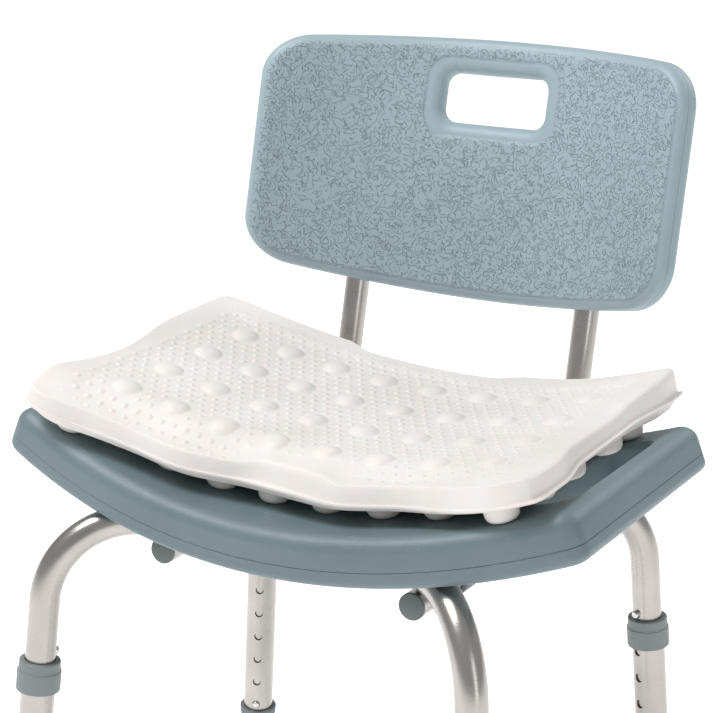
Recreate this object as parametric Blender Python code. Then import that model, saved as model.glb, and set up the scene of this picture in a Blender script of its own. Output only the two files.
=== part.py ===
# Shower chair: a moulded seat and removable backrest on two crossed aluminium leg
# frames, with height-adjustable legs and a loose foam pad.
# Metres. X is across the seat, Y runs from front to back, Z is up, and the floor is Z = 0.

import math

import bmesh
import bpy
from mathutils import Matrix, Vector

GAP = 0.0003
ORIGIN_Y = 0.0354  # puts the origin midway between the front tips and the backrest

# Seat moulding
SEAT_HALF_WIDTH = 0.259
SEAT_HALF_DEPTH = 0.1324
SEAT_FRONT_BULGE = 0.0337
SEAT_BACK_BULGE = 0.010
SEAT_RISE = 0.0517  # the ends stand this far above the middle
SEAT_Z = 0.350  # the mould's parting line at the middle
SEAT_ABOVE = 0.026
SEAT_BELOW = 0.014
SEAT_CORNER = 0.024
HAND_HOLD_X = 0.2215
HAND_HOLD_WIDTH = 0.036
HAND_HOLD_LENGTH = 0.166
HAND_HOLD_CORNER = 0.014
HAND_HOLD_FLARE = 0.004
WALL = 0.0032
CROSSING_RADIUS = 0.052  # the pocket over the crossed leg frames
CROSSING_CLEARANCE = 0.0008
CHANNEL_CLEARANCE = 0.0006
BOSS_RADIUS = 0.0065
SCREW_HOLE_RADIUS = 0.0025
BELOW_SEAT = 0.30  # cutters from under the seat start at this height
FRAME_SCREW_S = 0.085

# Backrest moulding, in its own frame: x across, u up the recline, w to the rear
BACK_HALF_WIDTH = 0.2069
BACK_TOP = 0.3518
BACK_CROWN = 0.0172
BACK_BOTTOM = 0.1499
BACK_SAG = 0.0158
BACK_BOW = 0.077
BACK_MIDDLE_W = 0.0132
BACK_HALF_THICKNESS = 0.0125
BACK_CORNER = 0.042
RECLINE = math.radians(12.7)
RECLINE_Y = 0.1758
GRIP_HALF_WIDTH = 0.051
GRIP_LOW = 0.2955
GRIP_HIGH = 0.3405
GRIP_CORNER = 0.012
GRIP_FLARE = 0.005
SOCKET_RADIUS = 0.0157
SOCKET_LOW = 0.1415
SOCKET_TOP = 0.262
BACK_SCREW_UP = 0.205

# Back tubes
BACK_TUBE_X = 0.1154
BACK_TUBE_RADIUS = 0.0111
BACK_TUBE_WALL = 0.0012
BACK_TUBE_Z = 0.319
BACK_TUBE_FRONT = -0.115
BACK_TUBE_TOP = 0.250
BACK_TUBE_BEND = 0.060
SLOT_TURN = math.radians(27)

# Guides that hold the back tubes under the seat
GUIDE_Y = 0.038
GUIDE_HALF_WIDTH = 0.0275
GUIDE_HALF_DEPTH = 0.011
GUIDE_RING = 0.0145
GUIDE_LUG = 0.005
GUIDE_SCREW_X = 0.0205

# Leg frames: s runs along the diagonal from the middle of the chair
DIAGONAL = Vector((0.1997, 0.1758, 0)).normalized()
LEG_S = 0.26606
LEG_S_HEIGHT = 0.2137
SPLAY = math.radians(5.5)
LEG_RADIUS = 0.0127
LEG_WALL = 0.0013
LEG_RUN_Z = 0.3435
LEG_BEND = 0.072
LEG_END = 0.029
HALVED = 0.0060  # half-height of a tube where it is pressed flat at the crossing
PRESSED_FROM = 0.046
PRESSED_FULL = 0.026
ROUND_SIDES = 16
TUBE_SIDES = 12

# Leg extensions, as distances up the leg from the floor
EXTENSION_RADIUS = 0.0143
EXTENSION_WALL = 0.00124
EXTENSION_LOW = 0.010
EXTENSION_HIGH = 0.2247
HOLE_PITCH = 0.0254
HOLES = 7
LOCK_HEIGHT = 0.0447
HOLE_RADIUS = 0.0040
LOCK_TURN = math.radians(22)
STOP_HEIGHT = 0.2328
COLLAR_LOW = 0.2005
BUTTON_PROFILE = [
    (0, 0.0090),
    (0.0047, 0.0090),
    (0.0047, 0.0099),
    (0.0036, 0.0099),
    (0.0036, 0.0144),
    (0.0031, 0.0155),
    (0.0018, 0.0162),
    (0, 0.0164),
]
SPRING_CENTRE = [
    (0.0082, -0.0055),
    (0.0082, 0.0055),
    (0.0022, 0.0300),
    (0, 0.0325),
    (-0.0022, 0.0300),
    (-0.0094, 0.0005),
    (-0.0094, -0.0055),
]
SPRING_THICKNESS = 0.0008
SPRING_HALF_WIDTH = 0.0034

# Screws, as shank radius, head radius and length
FRAME_SCREW = (0.0020, 0.0048, 0.034)
MIDDLE_BOLT = (0.0029, 0.0075, 0.038)
GUIDE_SCREW = (0.0020, 0.0042, 0.0155)
BACK_SCREW = (0.0020, 0.0045, 0.0095)

# Pad
PAD_HALF_WIDTH = 0.222
PAD_HALF_DEPTH = 0.146
PAD_CORNER = 0.030
PAD_HEIGHT = 0.052

LEGS = {"fl": (-1, -1), "fr": (1, -1), "bl": (-1, 1), "br": (1, 1)}
SIDES = (("left", -1), ("right", 1))

COLOURS = {
    "seat_plastic": ((0.42, 0.52, 0.54), 0.5, 0.0),
    "back_plastic": ((0.47, 0.58, 0.61), 0.5, 0.0),
    "satin_aluminium": ((0.66, 0.64, 0.61), 0.35, 0.9),
    "grey_plastic": ((0.36, 0.41, 0.41), 0.55, 0.0),
    "grey_rubber": ((0.33, 0.36, 0.37), 0.8, 0.0),
    "steel": ((0.62, 0.62, 0.62), 0.3, 1.0),
    "pad_foam": ((0.85, 0.82, 0.79), 0.6, 0.0),
}


def clear_scene():
    for item in list(bpy.data.objects):
        bpy.data.objects.remove(item, do_unlink=True)


def make_materials():
    """One Principled material for each finish."""
    made = {}
    for name, (colour, roughness, metallic) in COLOURS.items():
        material = bpy.data.materials.new(name)
        material.use_nodes = True
        shader = material.node_tree.nodes["Principled BSDF"]
        shader.inputs["Base Color"].default_value = (*colour, 1)
        shader.inputs["Roughness"].default_value = roughness
        shader.inputs["Metallic"].default_value = metallic
        material.diffuse_color = (*colour, 1)
        made[name] = material
    return made


def add_object(name, mesh, parent, finish=None):
    item = bpy.data.objects.new(name, mesh)
    bpy.context.scene.collection.objects.link(item)
    item.parent = parent
    if finish:
        own = finish.copy()
        own.name = name
        item.data.materials.append(own)
    return item


def add_empty(name, matrix, parent=None):
    item = bpy.data.objects.new(name, None)
    bpy.context.scene.collection.objects.link(item)
    item.parent = parent
    item.matrix_local = matrix
    return item


def finish_mesh(name, mesh_edit, sharp=35):
    bmesh.ops.recalc_face_normals(mesh_edit, faces=mesh_edit.faces)
    bmesh.ops.triangulate(mesh_edit, faces=[f for f in mesh_edit.faces if len(f.verts) > 4])
    mesh = bpy.data.meshes.new(name)
    mesh_edit.to_mesh(mesh)
    mesh_edit.free()
    mesh.shade_smooth()
    mesh.set_sharp_from_angle(angle=math.radians(sharp))
    return mesh


def boolean(item, cutter, operation="DIFFERENCE"):
    """Adds a cut or a join; the other body is only a guide."""
    modifier = item.modifiers.new(cutter.name, "BOOLEAN")
    modifier.operation = operation
    modifier.solver = "EXACT"
    modifier.object = cutter
    cutter.hide_render = True
    cutter.display_type = "WIRE"


def filleted(points, radii, steps):
    """A chain of points with each listed corner turned into an arc of the given radius."""
    chain = []
    count = len(points)
    for index, point in enumerate(points):
        radius = radii.get(index, 0)
        if not radius:
            chain.append(point)
            continue
        to_last = (points[index - 1] - point).normalized()
        to_next = (points[(index + 1) % count] - point).normalized()
        half = to_last.angle(to_next) / 2
        centre = point + (to_last + to_next).normalized() * radius / math.sin(half)
        first = point + to_last * radius / math.tan(half) - centre
        last = point + to_next * radius / math.tan(half) - centre
        sweep = first.angle(last)
        for step in range(steps + 1):
            share = step / steps
            blend = first * math.sin(sweep * (1 - share)) + last * math.sin(sweep * share)
            chain.append(centre + blend / math.sin(sweep))
    return chain


def inset(outline, distance):
    """Moves each point of a closed, anticlockwise outline inwards."""
    moved = []
    count = len(outline)
    for index, point in enumerate(outline):
        before = (point - outline[index - 1]).normalized()
        after = (outline[(index + 1) % count] - point).normalized()
        inward = Vector((-before.y - after.y, before.x + after.x)).normalized()
        moved.append(point + inward * distance / max(0.5, inward.dot(Vector((-before.y, before.x)))))
    return moved


def rounded_rim(low, high, low_radius, high_radius, steps):
    """(inset, height) rows of a wall with both of its edges rounded."""
    rows = []
    for step in range(steps + 1):
        angle = math.pi / 2 * step / steps
        rows.append((low_radius * (1 - math.sin(angle)), low + low_radius * (1 - math.cos(angle))))
    for step in range(steps + 1):
        angle = math.pi / 2 * step / steps
        rows.append((high_radius * (1 - math.cos(angle)), high - high_radius * (1 - math.sin(angle))))
    return rows


def slab(outline, rows, place, strips):
    """A plate with a rounded rim, cut across into strips and then bent by place(x, y, height)."""
    plate = bmesh.new()
    loops = []
    for distance, height in rows:
        ring = inset(outline, distance)
        loops.append([plate.verts.new((point.x, point.y, height)) for point in ring])
    for lower, upper in zip(loops, loops[1:]):
        for index in range(len(lower)):
            plate.faces.new((lower[index - 1], lower[index], upper[index], upper[index - 1]))
    plate.faces.new(reversed(loops[0]))
    plate.faces.new(loops[-1])
    for x in strips:
        geometry = plate.verts[:] + plate.edges[:] + plate.faces[:]
        bmesh.ops.bisect_plane(plate, geom=geometry, plane_co=(x, 0, 0), plane_no=(1, 0, 0))
    bmesh.ops.remove_doubles(plate, verts=plate.verts, dist=1e-6)
    bmesh.ops.triangulate(plate, faces=plate.faces)
    for vert in plate.verts:
        vert.co = place(*vert.co)
    return plate


def turned(profile, sides):
    """Turns (radius, height) points about Z; a profile that leaves the axis out is a ring."""
    body = bmesh.new()
    rings = []
    for radius, height in profile:
        if radius == 0:
            rings.append([body.verts.new((0, 0, height))] * sides)
            continue
        angles = [math.tau * side / sides for side in range(sides)]
        rings.append([body.verts.new((radius * math.cos(a), radius * math.sin(a), height)) for a in angles])
    pairs = list(zip(rings, rings[1:]))
    if profile[0][0] and profile[-1][0]:
        pairs.append((rings[-1], rings[0]))
    for lower, upper in pairs:
        for side in range(sides):
            corners = (lower[side - 1], lower[side], upper[side], upper[side - 1])
            face = list(dict.fromkeys(corners))
            if len(face) > 2:
                body.faces.new(face)
    return body


def tube(path, across, outer, wall, pressed=None):
    """A hollow tube along a flat path; across is the path plane's normal.
    pressed(point) gives a share from 0 to 1 by which the tube is flattened up or down."""
    body = bmesh.new()
    walls = []
    for radius in (outer, outer - wall):
        rings = []
        for index, point in enumerate(path):
            before = path[max(index - 1, 0)]
            after = path[min(index + 1, len(path) - 1)]
            upward = across.cross((after - before).normalized())
            share, side = pressed(point) if pressed else (0, 0)
            half_height = radius + share * (HALVED - outer)
            lift = side * share * (outer - HALVED)
            ring = []
            for step in range(TUBE_SIDES):
                angle = math.tau * (step + 0.5) / TUBE_SIDES
                offset = across * radius * math.cos(angle)
                offset = offset + upward * (half_height * math.sin(angle) + lift)
                ring.append(body.verts.new(point + offset))
            rings.append(ring)
        walls.append(rings)
    for rings in walls:
        for lower, upper in zip(rings, rings[1:]):
            for side in range(TUBE_SIDES):
                body.faces.new((lower[side - 1], lower[side], upper[side], upper[side - 1]))
    for end in (0, -1):
        for side in range(TUBE_SIDES):
            outside, inside = walls[0][end], walls[1][end]
            body.faces.new((outside[side - 1], outside[side], inside[side], inside[side - 1]))
    return body


def cylinder(name, radius, low, high, parent, matrix=None, sides=12):
    """A plain round cutter along its own Z."""
    body = turned([(0, low), (radius, low), (radius, high), (0, high)], sides)
    item = add_object(name, finish_mesh(name, body), parent)
    item.hide_render = True
    item.display_type = "WIRE"
    if matrix:
        item.matrix_local = matrix
    return item


def block(name, size, parent):
    """A plain box cutter."""
    body = bmesh.new()
    bmesh.ops.create_cube(body, size=1, matrix=Matrix.Diagonal((*size, 1)))
    item = add_object(name, finish_mesh(name, body), parent)
    item.hide_render = True
    item.display_type = "WIRE"
    return item


# Seat


def seat_point(x, y, height):
    """A point of the saddle surface, height measured square to it from the parting line."""
    slope = 2 * SEAT_RISE * x / SEAT_HALF_WIDTH**2
    length = math.hypot(1, slope)
    rise = SEAT_Z + SEAT_RISE * (x / SEAT_HALF_WIDTH) ** 2
    return Vector((x - height * slope / length, y, rise + height / length))


def seat_under(x):
    """Height of the seat's underside at x."""
    guess = x
    for _ in range(8):
        guess += x - seat_point(guess, 0, -SEAT_BELOW).x
    return seat_point(guess, 0, -SEAT_BELOW).z


def seat_outline(half_width, half_depth, front, back, corner):
    points = []
    stations = 8
    for index in range(stations + 1):
        share = 2 * index / stations - 1
        points.append(Vector((half_width * share, -half_depth - front * (1 - share**2))))
    for index in range(stations + 1):
        share = 1 - 2 * index / stations
        points.append(Vector((half_width * share, half_depth + back * (1 - share**2))))
    corners = {index: corner for index in (0, stations, stations + 1, 2 * stations + 1)}
    return filleted(points, corners, 4)


def rounded_box(half_x, half_y, corner, steps):
    signs = ((-1, -1), (1, -1), (1, 1), (-1, 1))
    points = [Vector((x * half_x, y * half_y)) for x, y in signs]
    return filleted(points, dict.fromkeys(range(4), corner), steps)


def spool(name, outline, heights, flare, reach, grow, parent, matrix):
    """A slot cutter that flares at both surfaces, so that the slot gets rounded rims."""
    low, high = heights
    rows = [(-flare - grow, low - reach), (-flare - grow, low)]
    for step in (1, 2):
        angle = math.pi / 2 * step / 2
        rows.append((-flare * (1 - math.sin(angle)) - grow, low + flare * (1 - math.cos(angle))))
    for step in (0, 1):
        angle = math.pi / 2 * step / 2
        rows.append((-flare * (1 - math.cos(angle)) - grow, high - flare * (1 - math.sin(angle))))
    rows += [(-flare - grow, high), (-flare - grow, high + reach)]
    body = slab(outline, rows, lambda x, y, z: Vector((x, y, z)), [])
    item = add_object(name, finish_mesh(name, body), parent)
    item.matrix_local = matrix
    item.hide_render = True
    item.display_type = "WIRE"
    return item


def seat_slot(name, side, grow, parent):
    """The cutter for one hand hold, tilted square to the seat."""
    slope = math.atan(2 * SEAT_RISE * HAND_HOLD_X / SEAT_HALF_WIDTH**2)
    centre = seat_point(side * HAND_HOLD_X, 0, 0)
    matrix = Matrix.Translation(centre) @ Matrix.Rotation(-side * slope, 4, "Y")
    outline = rounded_box(HAND_HOLD_WIDTH / 2, HAND_HOLD_LENGTH / 2, HAND_HOLD_CORNER, 3)
    return spool(name, outline, (-SEAT_BELOW, SEAT_ABOVE), HAND_HOLD_FLARE, 0.012, grow, parent, matrix)


def leg_channel(name, sign, grow, parent):
    """The groove in the seat's underside that a leg frame lies in."""
    turn = math.atan2(DIAGONAL.y, sign * DIAGONAL.x)
    radius = LEG_RADIUS + CHANNEL_CLEARANCE + grow
    along = Matrix.Rotation(turn, 4, "Z") @ Matrix.Rotation(math.pi / 2, 4, "Y")
    matrix = Matrix.Translation((0, 0, LEG_RUN_Z)) @ along
    profile = []
    for step in range(9):
        angle = math.pi * step / 8
        profile.append(Vector((-radius * math.sin(angle), radius * math.cos(angle))))
    profile += [Vector((0.04, -radius)), Vector((0.04, radius))]
    rows = [(0, -0.34), (0, 0.34)]
    body = slab(profile, rows, lambda x, y, z: Vector((x, y, z)), [])
    item = add_object(name, finish_mesh(name, body), parent)
    item.matrix_local = matrix
    item.hide_render = True
    item.display_type = "WIRE"
    return item


def frame_screw_places():
    return {name: DIAGONAL * Vector((x, y, 0)) * FRAME_SCREW_S for name, (x, y) in LEGS.items()}


def guide_places():
    places = {}
    for end, y in (("front", -GUIDE_Y), ("rear", GUIDE_Y)):
        for side, sign in SIDES:
            places[f"{end}_{side}"] = Vector((sign * BACK_TUBE_X, y, 0))
    return places


def guide_screw_places():
    places = {}
    for name, place in guide_places().items():
        for end, sign in (("a", -1), ("b", 1)):
            places[f"{name}_{end}"] = place + Vector((sign * GUIDE_SCREW_X, 0, 0))
    return places


def make_seat(chair, materials):
    """The hollow saddle moulding with its hand holds, leg channels, bosses and screw holes."""
    bulges = (SEAT_FRONT_BULGE, SEAT_BACK_BULGE)
    outline = seat_outline(SEAT_HALF_WIDTH, SEAT_HALF_DEPTH, *bulges, SEAT_CORNER)
    strips = [SEAT_HALF_WIDTH * index / 6 for index in range(-5, 6)]
    rows = rounded_rim(-SEAT_BELOW, SEAT_ABOVE, 0.008, 0.013, 2)
    mesh = finish_mesh("seat", slab(outline, rows, seat_point, strips))
    seat = add_object("seat", mesh, chair, materials["seat_plastic"])
    inner_rows = rounded_rim(-SEAT_BELOW + WALL, SEAT_ABOVE - WALL, 0.005, 0.009, 1)
    inner_body = slab(inset(outline, WALL), inner_rows, seat_point, strips[::2])
    cavity = add_object("seat_cavity", finish_mesh("seat_cavity", inner_body), chair)
    cutters = []
    for number, sign in enumerate((1, -1)):
        boolean(cavity, leg_channel(f"cavity_channel_{number}", sign, WALL, chair))
        cutters.append(leg_channel(f"seat_channel_{number}", sign, 0, chair))
    for side, sign in SIDES:
        boolean(cavity, seat_slot(f"cavity_slot_{side}", sign, WALL, chair))
        cutters.append(seat_slot(f"seat_slot_{side}", sign, 0, chair))
    bosses = {**frame_screw_places(), **guide_screw_places(), "middle": Vector((0, 0, 0))}
    for name, place in bosses.items():
        spot = Matrix.Translation(place)
        boolean(cavity, cylinder(f"boss_{name}", BOSS_RADIUS, BELOW_SEAT, 0.42, chair, spot, 6))
    crossing_top = LEG_RUN_Z + LEG_RADIUS + CROSSING_CLEARANCE
    crossing = (CROSSING_RADIUS + WALL, BELOW_SEAT, crossing_top + WALL)
    boolean(cavity, cylinder("cavity_crossing", *crossing, chair))
    boolean(seat, cavity)
    boolean(seat, cylinder("seat_crossing", CROSSING_RADIUS, BELOW_SEAT, crossing_top, chair, sides=16))
    for cutter in cutters:
        boolean(seat, cutter)
    vent = Matrix.Translation((0, 0.085, 0))
    boolean(seat, cylinder("seat_vent", 0.003, BELOW_SEAT, 0.345, chair, vent, 8))
    tops = dict.fromkeys(frame_screw_places(), 0.368)
    tops |= {name: seat_under(place.x) + 0.012 for name, place in guide_screw_places().items()}
    for name, top in tops.items():
        spot = Matrix.Translation(bosses[name])
        boolean(seat, cylinder(f"screw_hole_{name}", SCREW_HOLE_RADIUS, BELOW_SEAT, top, chair, spot, 6))
    boolean(seat, cylinder("middle_hole", 0.0034, BELOW_SEAT, 0.3722, chair, sides=8))


# Screws


def make_screw(name, parent, matrix, finish, sizes, sides):
    """A pan-head screw whose head's underside is at its own Z = 0 and whose shank runs up."""
    shank, head, length = sizes
    profile = [(0, -0.0026), (head * 0.7, -0.0026), (head, -0.001), (head, 0)]
    profile += [(shank, 0), (shank, length - 0.002), (0, length)]
    item = add_object(name, finish_mesh(name, turned(profile, sides)), parent, finish)
    item.matrix_local = matrix


# Back


def back_point(x, u, height):
    """A point of the bowed backrest, height measured square to it towards the rear."""
    slope = 2 * BACK_BOW * x / BACK_HALF_WIDTH**2
    length = math.hypot(1, slope)
    depth = BACK_MIDDLE_W - BACK_BOW * (x / BACK_HALF_WIDTH) ** 2
    return Vector((x + height * slope / length, depth + height / length, u))


def back_outline():
    points = []
    stations = 6
    for index in range(stations + 1):
        share = 2 * index / stations - 1
        points.append(Vector((BACK_HALF_WIDTH * share, BACK_BOTTOM - BACK_SAG * (1 - share**2))))
    for index in range(stations + 1):
        share = 1 - 2 * index / stations
        points.append(Vector((BACK_HALF_WIDTH * share, BACK_TOP + BACK_CROWN * (1 - share**2))))
    corners = {index: BACK_CORNER for index in (0, stations, stations + 1, 2 * stations + 1)}
    return filleted(points, corners, 5)


def make_back(frame, materials):
    """The bowed backrest with its grip slot, rear sockets and the screws that hold the tubes."""
    outline = back_outline()
    strips = [BACK_HALF_WIDTH * index / 6 for index in range(-5, 6)]
    rows = rounded_rim(-BACK_HALF_THICKNESS, BACK_HALF_THICKNESS, 0.009, 0.009, 2)
    mesh = finish_mesh("back_panel", slab(outline, rows, back_point, strips))
    panel = add_object("back_panel", mesh, frame, materials["back_plastic"])
    inner_rows = rounded_rim(-BACK_HALF_THICKNESS + WALL, BACK_HALF_THICKNESS - WALL, 0.005, 0.005, 1)
    inner_body = slab(inset(outline, WALL), inner_rows, back_point, strips[::2])
    cavity = add_object("back_cavity", finish_mesh("back_cavity", inner_body), frame)
    grip = rounded_box(GRIP_HALF_WIDTH, (GRIP_HIGH - GRIP_LOW) / 2, GRIP_CORNER, 3)
    centre = (0, BACK_MIDDLE_W - 0.002, (GRIP_LOW + GRIP_HIGH) / 2)
    matrix = Matrix.Translation(centre) @ Matrix.Rotation(math.pi / 2, 4, "X")
    heights = (-BACK_HALF_THICKNESS, BACK_HALF_THICKNESS)
    boolean(cavity, spool("cavity_grip", grip, heights, GRIP_FLARE, 0.014, WALL, frame, matrix))
    socket = [(0, SOCKET_LOW), (SOCKET_RADIUS, SOCKET_LOW), (SOCKET_RADIUS, SOCKET_TOP)]
    socket += [(SOCKET_RADIUS * 0.6, SOCKET_TOP + 0.006), (0, SOCKET_TOP + 0.007)]
    room = (SOCKET_RADIUS - 0.0008, 0.11, SOCKET_TOP - 0.001)
    for side, sign in SIDES:
        post = Matrix.Translation((sign * BACK_TUBE_X, 0, 0))
        boolean(cavity, cylinder(f"cavity_socket_{side}", *room, frame, post, ROUND_SIDES))
        name = f"socket_{side}"
        boss = add_object(name, finish_mesh(name, turned(socket, ROUND_SIDES)), frame)
        boss.matrix_local = post
        boolean(panel, boss, "UNION")
    boolean(panel, cavity)
    boolean(panel, spool("back_grip", grip, heights, GRIP_FLARE, 0.014, 0, frame, matrix))
    bore = (BACK_TUBE_RADIUS + GAP, 0.10, BACK_TUBE_TOP + GAP)
    for side, sign in SIDES:
        x = sign * BACK_TUBE_X
        post = Matrix.Translation((x, 0, 0))
        boolean(panel, cylinder(f"socket_bore_{side}", *bore, frame, post, ROUND_SIDES))
        hole = Matrix.Translation((x, 0, BACK_SCREW_UP)) @ Matrix.Rotation(-math.pi / 2, 4, "X")
        boolean(panel, cylinder(f"back_screw_hole_{side}", 0.0024, 0, 0.03, frame, hole, 8))
        seated = Matrix.Translation((x, SOCKET_RADIUS + GAP, BACK_SCREW_UP))
        screw = seated @ Matrix.Rotation(math.pi / 2, 4, "X")
        make_screw(f"back_screw_{side}", frame, screw, materials["steel"], BACK_SCREW, 10)
    vent = Matrix.Translation((0, BACK_MIDDLE_W, 0))
    boolean(panel, cylinder("back_vent", 0.003, 0.10, 0.16, frame, vent, 8))


def make_back_tube(side, x, chair, frame, materials):
    """An L-shaped tube, flat under the seat and leaning back behind it, with its plug."""
    lean = Vector((0, math.sin(RECLINE), math.cos(RECLINE)))
    foot = Vector((x, RECLINE_Y, SEAT_Z))
    corner = foot + lean * (BACK_TUBE_Z - SEAT_Z) / lean.z
    start = Vector((x, BACK_TUBE_FRONT, BACK_TUBE_Z))
    path = filleted([start, corner, foot + lean * BACK_TUBE_TOP], {1: BACK_TUBE_BEND}, 5)
    body = tube(path, Vector((1, 0, 0)), BACK_TUBE_RADIUS, BACK_TUBE_WALL)
    name = f"back_tube_{side}"
    item = add_object(name, finish_mesh(name, body, 50), chair, materials["satin_aluminium"])
    slot_middle = Matrix.Translation((x, BACK_TUBE_FRONT + 0.024, BACK_TUBE_Z))
    slot = block(f"slot_{side}", (0.003, 0.013, 0.02), chair)
    slot.matrix_local = slot_middle @ Matrix.Rotation(SLOT_TURN, 4, "Y") @ Matrix.Translation((0, 0, -0.015))
    boolean(item, slot)
    hole = Matrix.Translation((x, 0, BACK_SCREW_UP)) @ Matrix.Rotation(-math.pi / 2, 4, "X")
    boolean(item, cylinder(f"back_tube_screw_hole_{side}", 0.0023, 0, 0.03, frame, hole, 8))
    stem = BACK_TUBE_RADIUS - BACK_TUBE_WALL - 0.0006
    profile = [(0, -0.0042), (0.006, -0.004), (0.0095, -0.0029), (BACK_TUBE_RADIUS, -0.0008)]
    profile += [(BACK_TUBE_RADIUS, -GAP), (stem, -GAP), (stem, 0.014), (stem - 0.001, 0.016), (0, 0.016)]
    mesh = finish_mesh("plug", turned(profile, ROUND_SIDES))
    plug = add_object(f"back_plug_{side}", mesh, chair, materials["grey_plastic"])
    level = Matrix.Rotation(-math.pi / 2, 4, "X") @ Matrix.Rotation(math.pi / ROUND_SIDES, 4, "Z")
    plug.matrix_local = Matrix.Translation(start) @ level


def make_guide(name, place, chair, materials):
    """A block that carries a back tube: its top follows the seat, and two screws hold it."""
    section = []
    for step in range(9):
        angle = math.pi * (1 + step / 8)
        section.append((GUIDE_RING * math.cos(angle), BACK_TUBE_Z + GUIDE_RING * math.sin(angle)))
    rim = [(dx, seat_under(place.x + dx) - GUIDE_LUG) for dx in (GUIDE_RING, GUIDE_HALF_WIDTH)]
    tops = (GUIDE_HALF_WIDTH, GUIDE_RING, -GUIDE_RING, -GUIDE_HALF_WIDTH)
    rim += [(dx, seat_under(place.x + dx) - GAP) for dx in tops]
    rim += [(dx, seat_under(place.x + dx) - GUIDE_LUG) for dx in (-GUIDE_HALF_WIDTH, -GUIDE_RING)]
    body = bmesh.new()
    loops = []
    for y in (-GUIDE_HALF_DEPTH, GUIDE_HALF_DEPTH):
        loops.append([body.verts.new((place.x + dx, place.y + y, z)) for dx, z in section + rim])
    for index in range(len(loops[0])):
        body.faces.new((loops[0][index - 1], loops[0][index], loops[1][index], loops[1][index - 1]))
    body.faces.new(loops[0])
    body.faces.new(reversed(loops[1]))
    item = add_object(f"guide_{name}", finish_mesh(name, body), chair, materials["grey_plastic"])
    level = Matrix.Rotation(math.pi / 2, 4, "X") @ Matrix.Rotation(math.pi / ROUND_SIDES, 4, "Z")
    axis = Matrix.Translation((place.x, place.y, BACK_TUBE_Z)) @ level
    bore = (BACK_TUBE_RADIUS + 0.0004, -0.03, 0.03)
    boolean(item, cylinder(f"guide_bore_{name}", *bore, chair, axis, ROUND_SIDES))
    for end, sign in (("a", -1), ("b", 1)):
        spot = place + Vector((sign * GUIDE_SCREW_X, 0, 0))
        hole = Matrix.Translation(spot)
        boolean(item, cylinder(f"guide_hole_{name}_{end}", 0.0024, BELOW_SEAT, 0.40, chair, hole, 8))
        screw = Matrix.Translation((spot.x, spot.y, seat_under(spot.x) - GUIDE_LUG - 0.0010))
        make_screw(f"guide_screw_{name}_{end}", chair, screw, materials["steel"], GUIDE_SCREW, 8)


# Leg frames


def pressed_at(sign):
    """Flattening of a frame near the crossing: sign 1 keeps the upper half, -1 the lower."""

    def share(point):
        distance = math.hypot(point.x, point.y)
        ramp = min(1, max(0, (PRESSED_FROM - distance) / (PRESSED_FROM - PRESSED_FULL)))
        return ramp * ramp * (3 - 2 * ramp), sign

    return share


def make_leg_frame(name, direction, lifted, chair, legs, materials):
    """One inverted U of tube across a diagonal, pressed flat where it crosses the other."""
    run = LEG_S - (LEG_RUN_Z - LEG_S_HEIGHT) * math.tan(SPLAY)
    foot = LEG_S + (LEG_S_HEIGHT - LEG_END) * math.tan(SPLAY)
    up = Vector((0, 0, 1))
    crossing = (PRESSED_FROM, (PRESSED_FROM + PRESSED_FULL) / 2, PRESSED_FULL)
    stations = [-s for s in crossing] + list(reversed(crossing))
    points = [direction * -foot + up * LEG_END, direction * -run + up * LEG_RUN_Z]
    points += [direction * s + up * LEG_RUN_Z for s in stations]
    points += [direction * run + up * LEG_RUN_Z, direction * foot + up * LEG_END]
    last = len(points) - 1
    path = filleted(points, {1: LEG_BEND, last - 1: LEG_BEND}, 5)
    across = direction.cross(up)
    body = tube(path, across, LEG_RADIUS, LEG_WALL, pressed_at(lifted))
    frame = add_object(name, finish_mesh(name, body, 50), chair, materials["satin_aluminium"])
    boolean(frame, cylinder(f"{name}_middle_hole", 0.0035, BELOW_SEAT, 0.40, chair, sides=8))
    for leg in legs:
        place = Matrix.Translation(frame_screw_places()[leg])
        screw_hole = (SCREW_HOLE_RADIUS, BELOW_SEAT, 0.40)
        boolean(frame, cylinder(f"{name}_screw_hole_{leg}", *screw_hole, chair, place, 8))
        holder = bpy.data.objects[f"leg_{leg}"]
        for label, height in (("lock", LOCK_HEIGHT), ("stop", STOP_HEIGHT)):
            hole = Matrix.Translation((0, 0, height)) @ Matrix.Rotation(math.pi / 2, 4, "Y")
            boolean(frame, cylinder(f"{label}_bore_{leg}", HOLE_RADIUS, 0, 0.02, holder, hole, 8))


def leg_matrix(x, y):
    """A leg's own frame: Z up the splayed leg from the floor, X out through the lock button."""
    outward = Vector((x * DIAGONAL.x, y * DIAGONAL.y, 0))
    axis = (Vector((0, 0, 1)) - outward * math.tan(SPLAY)).normalized()
    floor = outward * (LEG_S + LEG_S_HEIGHT * math.tan(SPLAY))
    facing = Vector((-x * math.sin(LOCK_TURN), -y * math.cos(LOCK_TURN), 0))
    facing = (facing - axis * facing.dot(axis)).normalized()
    aside = axis.cross(facing)
    matrix = Matrix((facing, aside, axis)).transposed().to_4x4()
    return Matrix.Translation(floor) @ matrix


def make_extension(leg, frame, materials):
    """The outer tube of a leg, with its row of height holes."""
    inner = EXTENSION_RADIUS - EXTENSION_WALL
    profile = [(inner, EXTENSION_LOW), (EXTENSION_RADIUS, EXTENSION_LOW)]
    profile += [(EXTENSION_RADIUS, EXTENSION_HIGH), (inner, EXTENSION_HIGH)]
    name = f"leg_extension_{leg}"
    mesh = finish_mesh(name, turned(profile, ROUND_SIDES))
    item = add_object(name, mesh, frame, materials["satin_aluminium"])
    for number in range(HOLES):
        height = LOCK_HEIGHT + HOLE_PITCH * number
        hole = Matrix.Translation((0, 0, height)) @ Matrix.Rotation(math.pi / 2, 4, "Y")
        boolean(item, cylinder(f"hole_{leg}_{number}", HOLE_RADIUS, 0, 0.02, frame, hole, 8))


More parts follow.
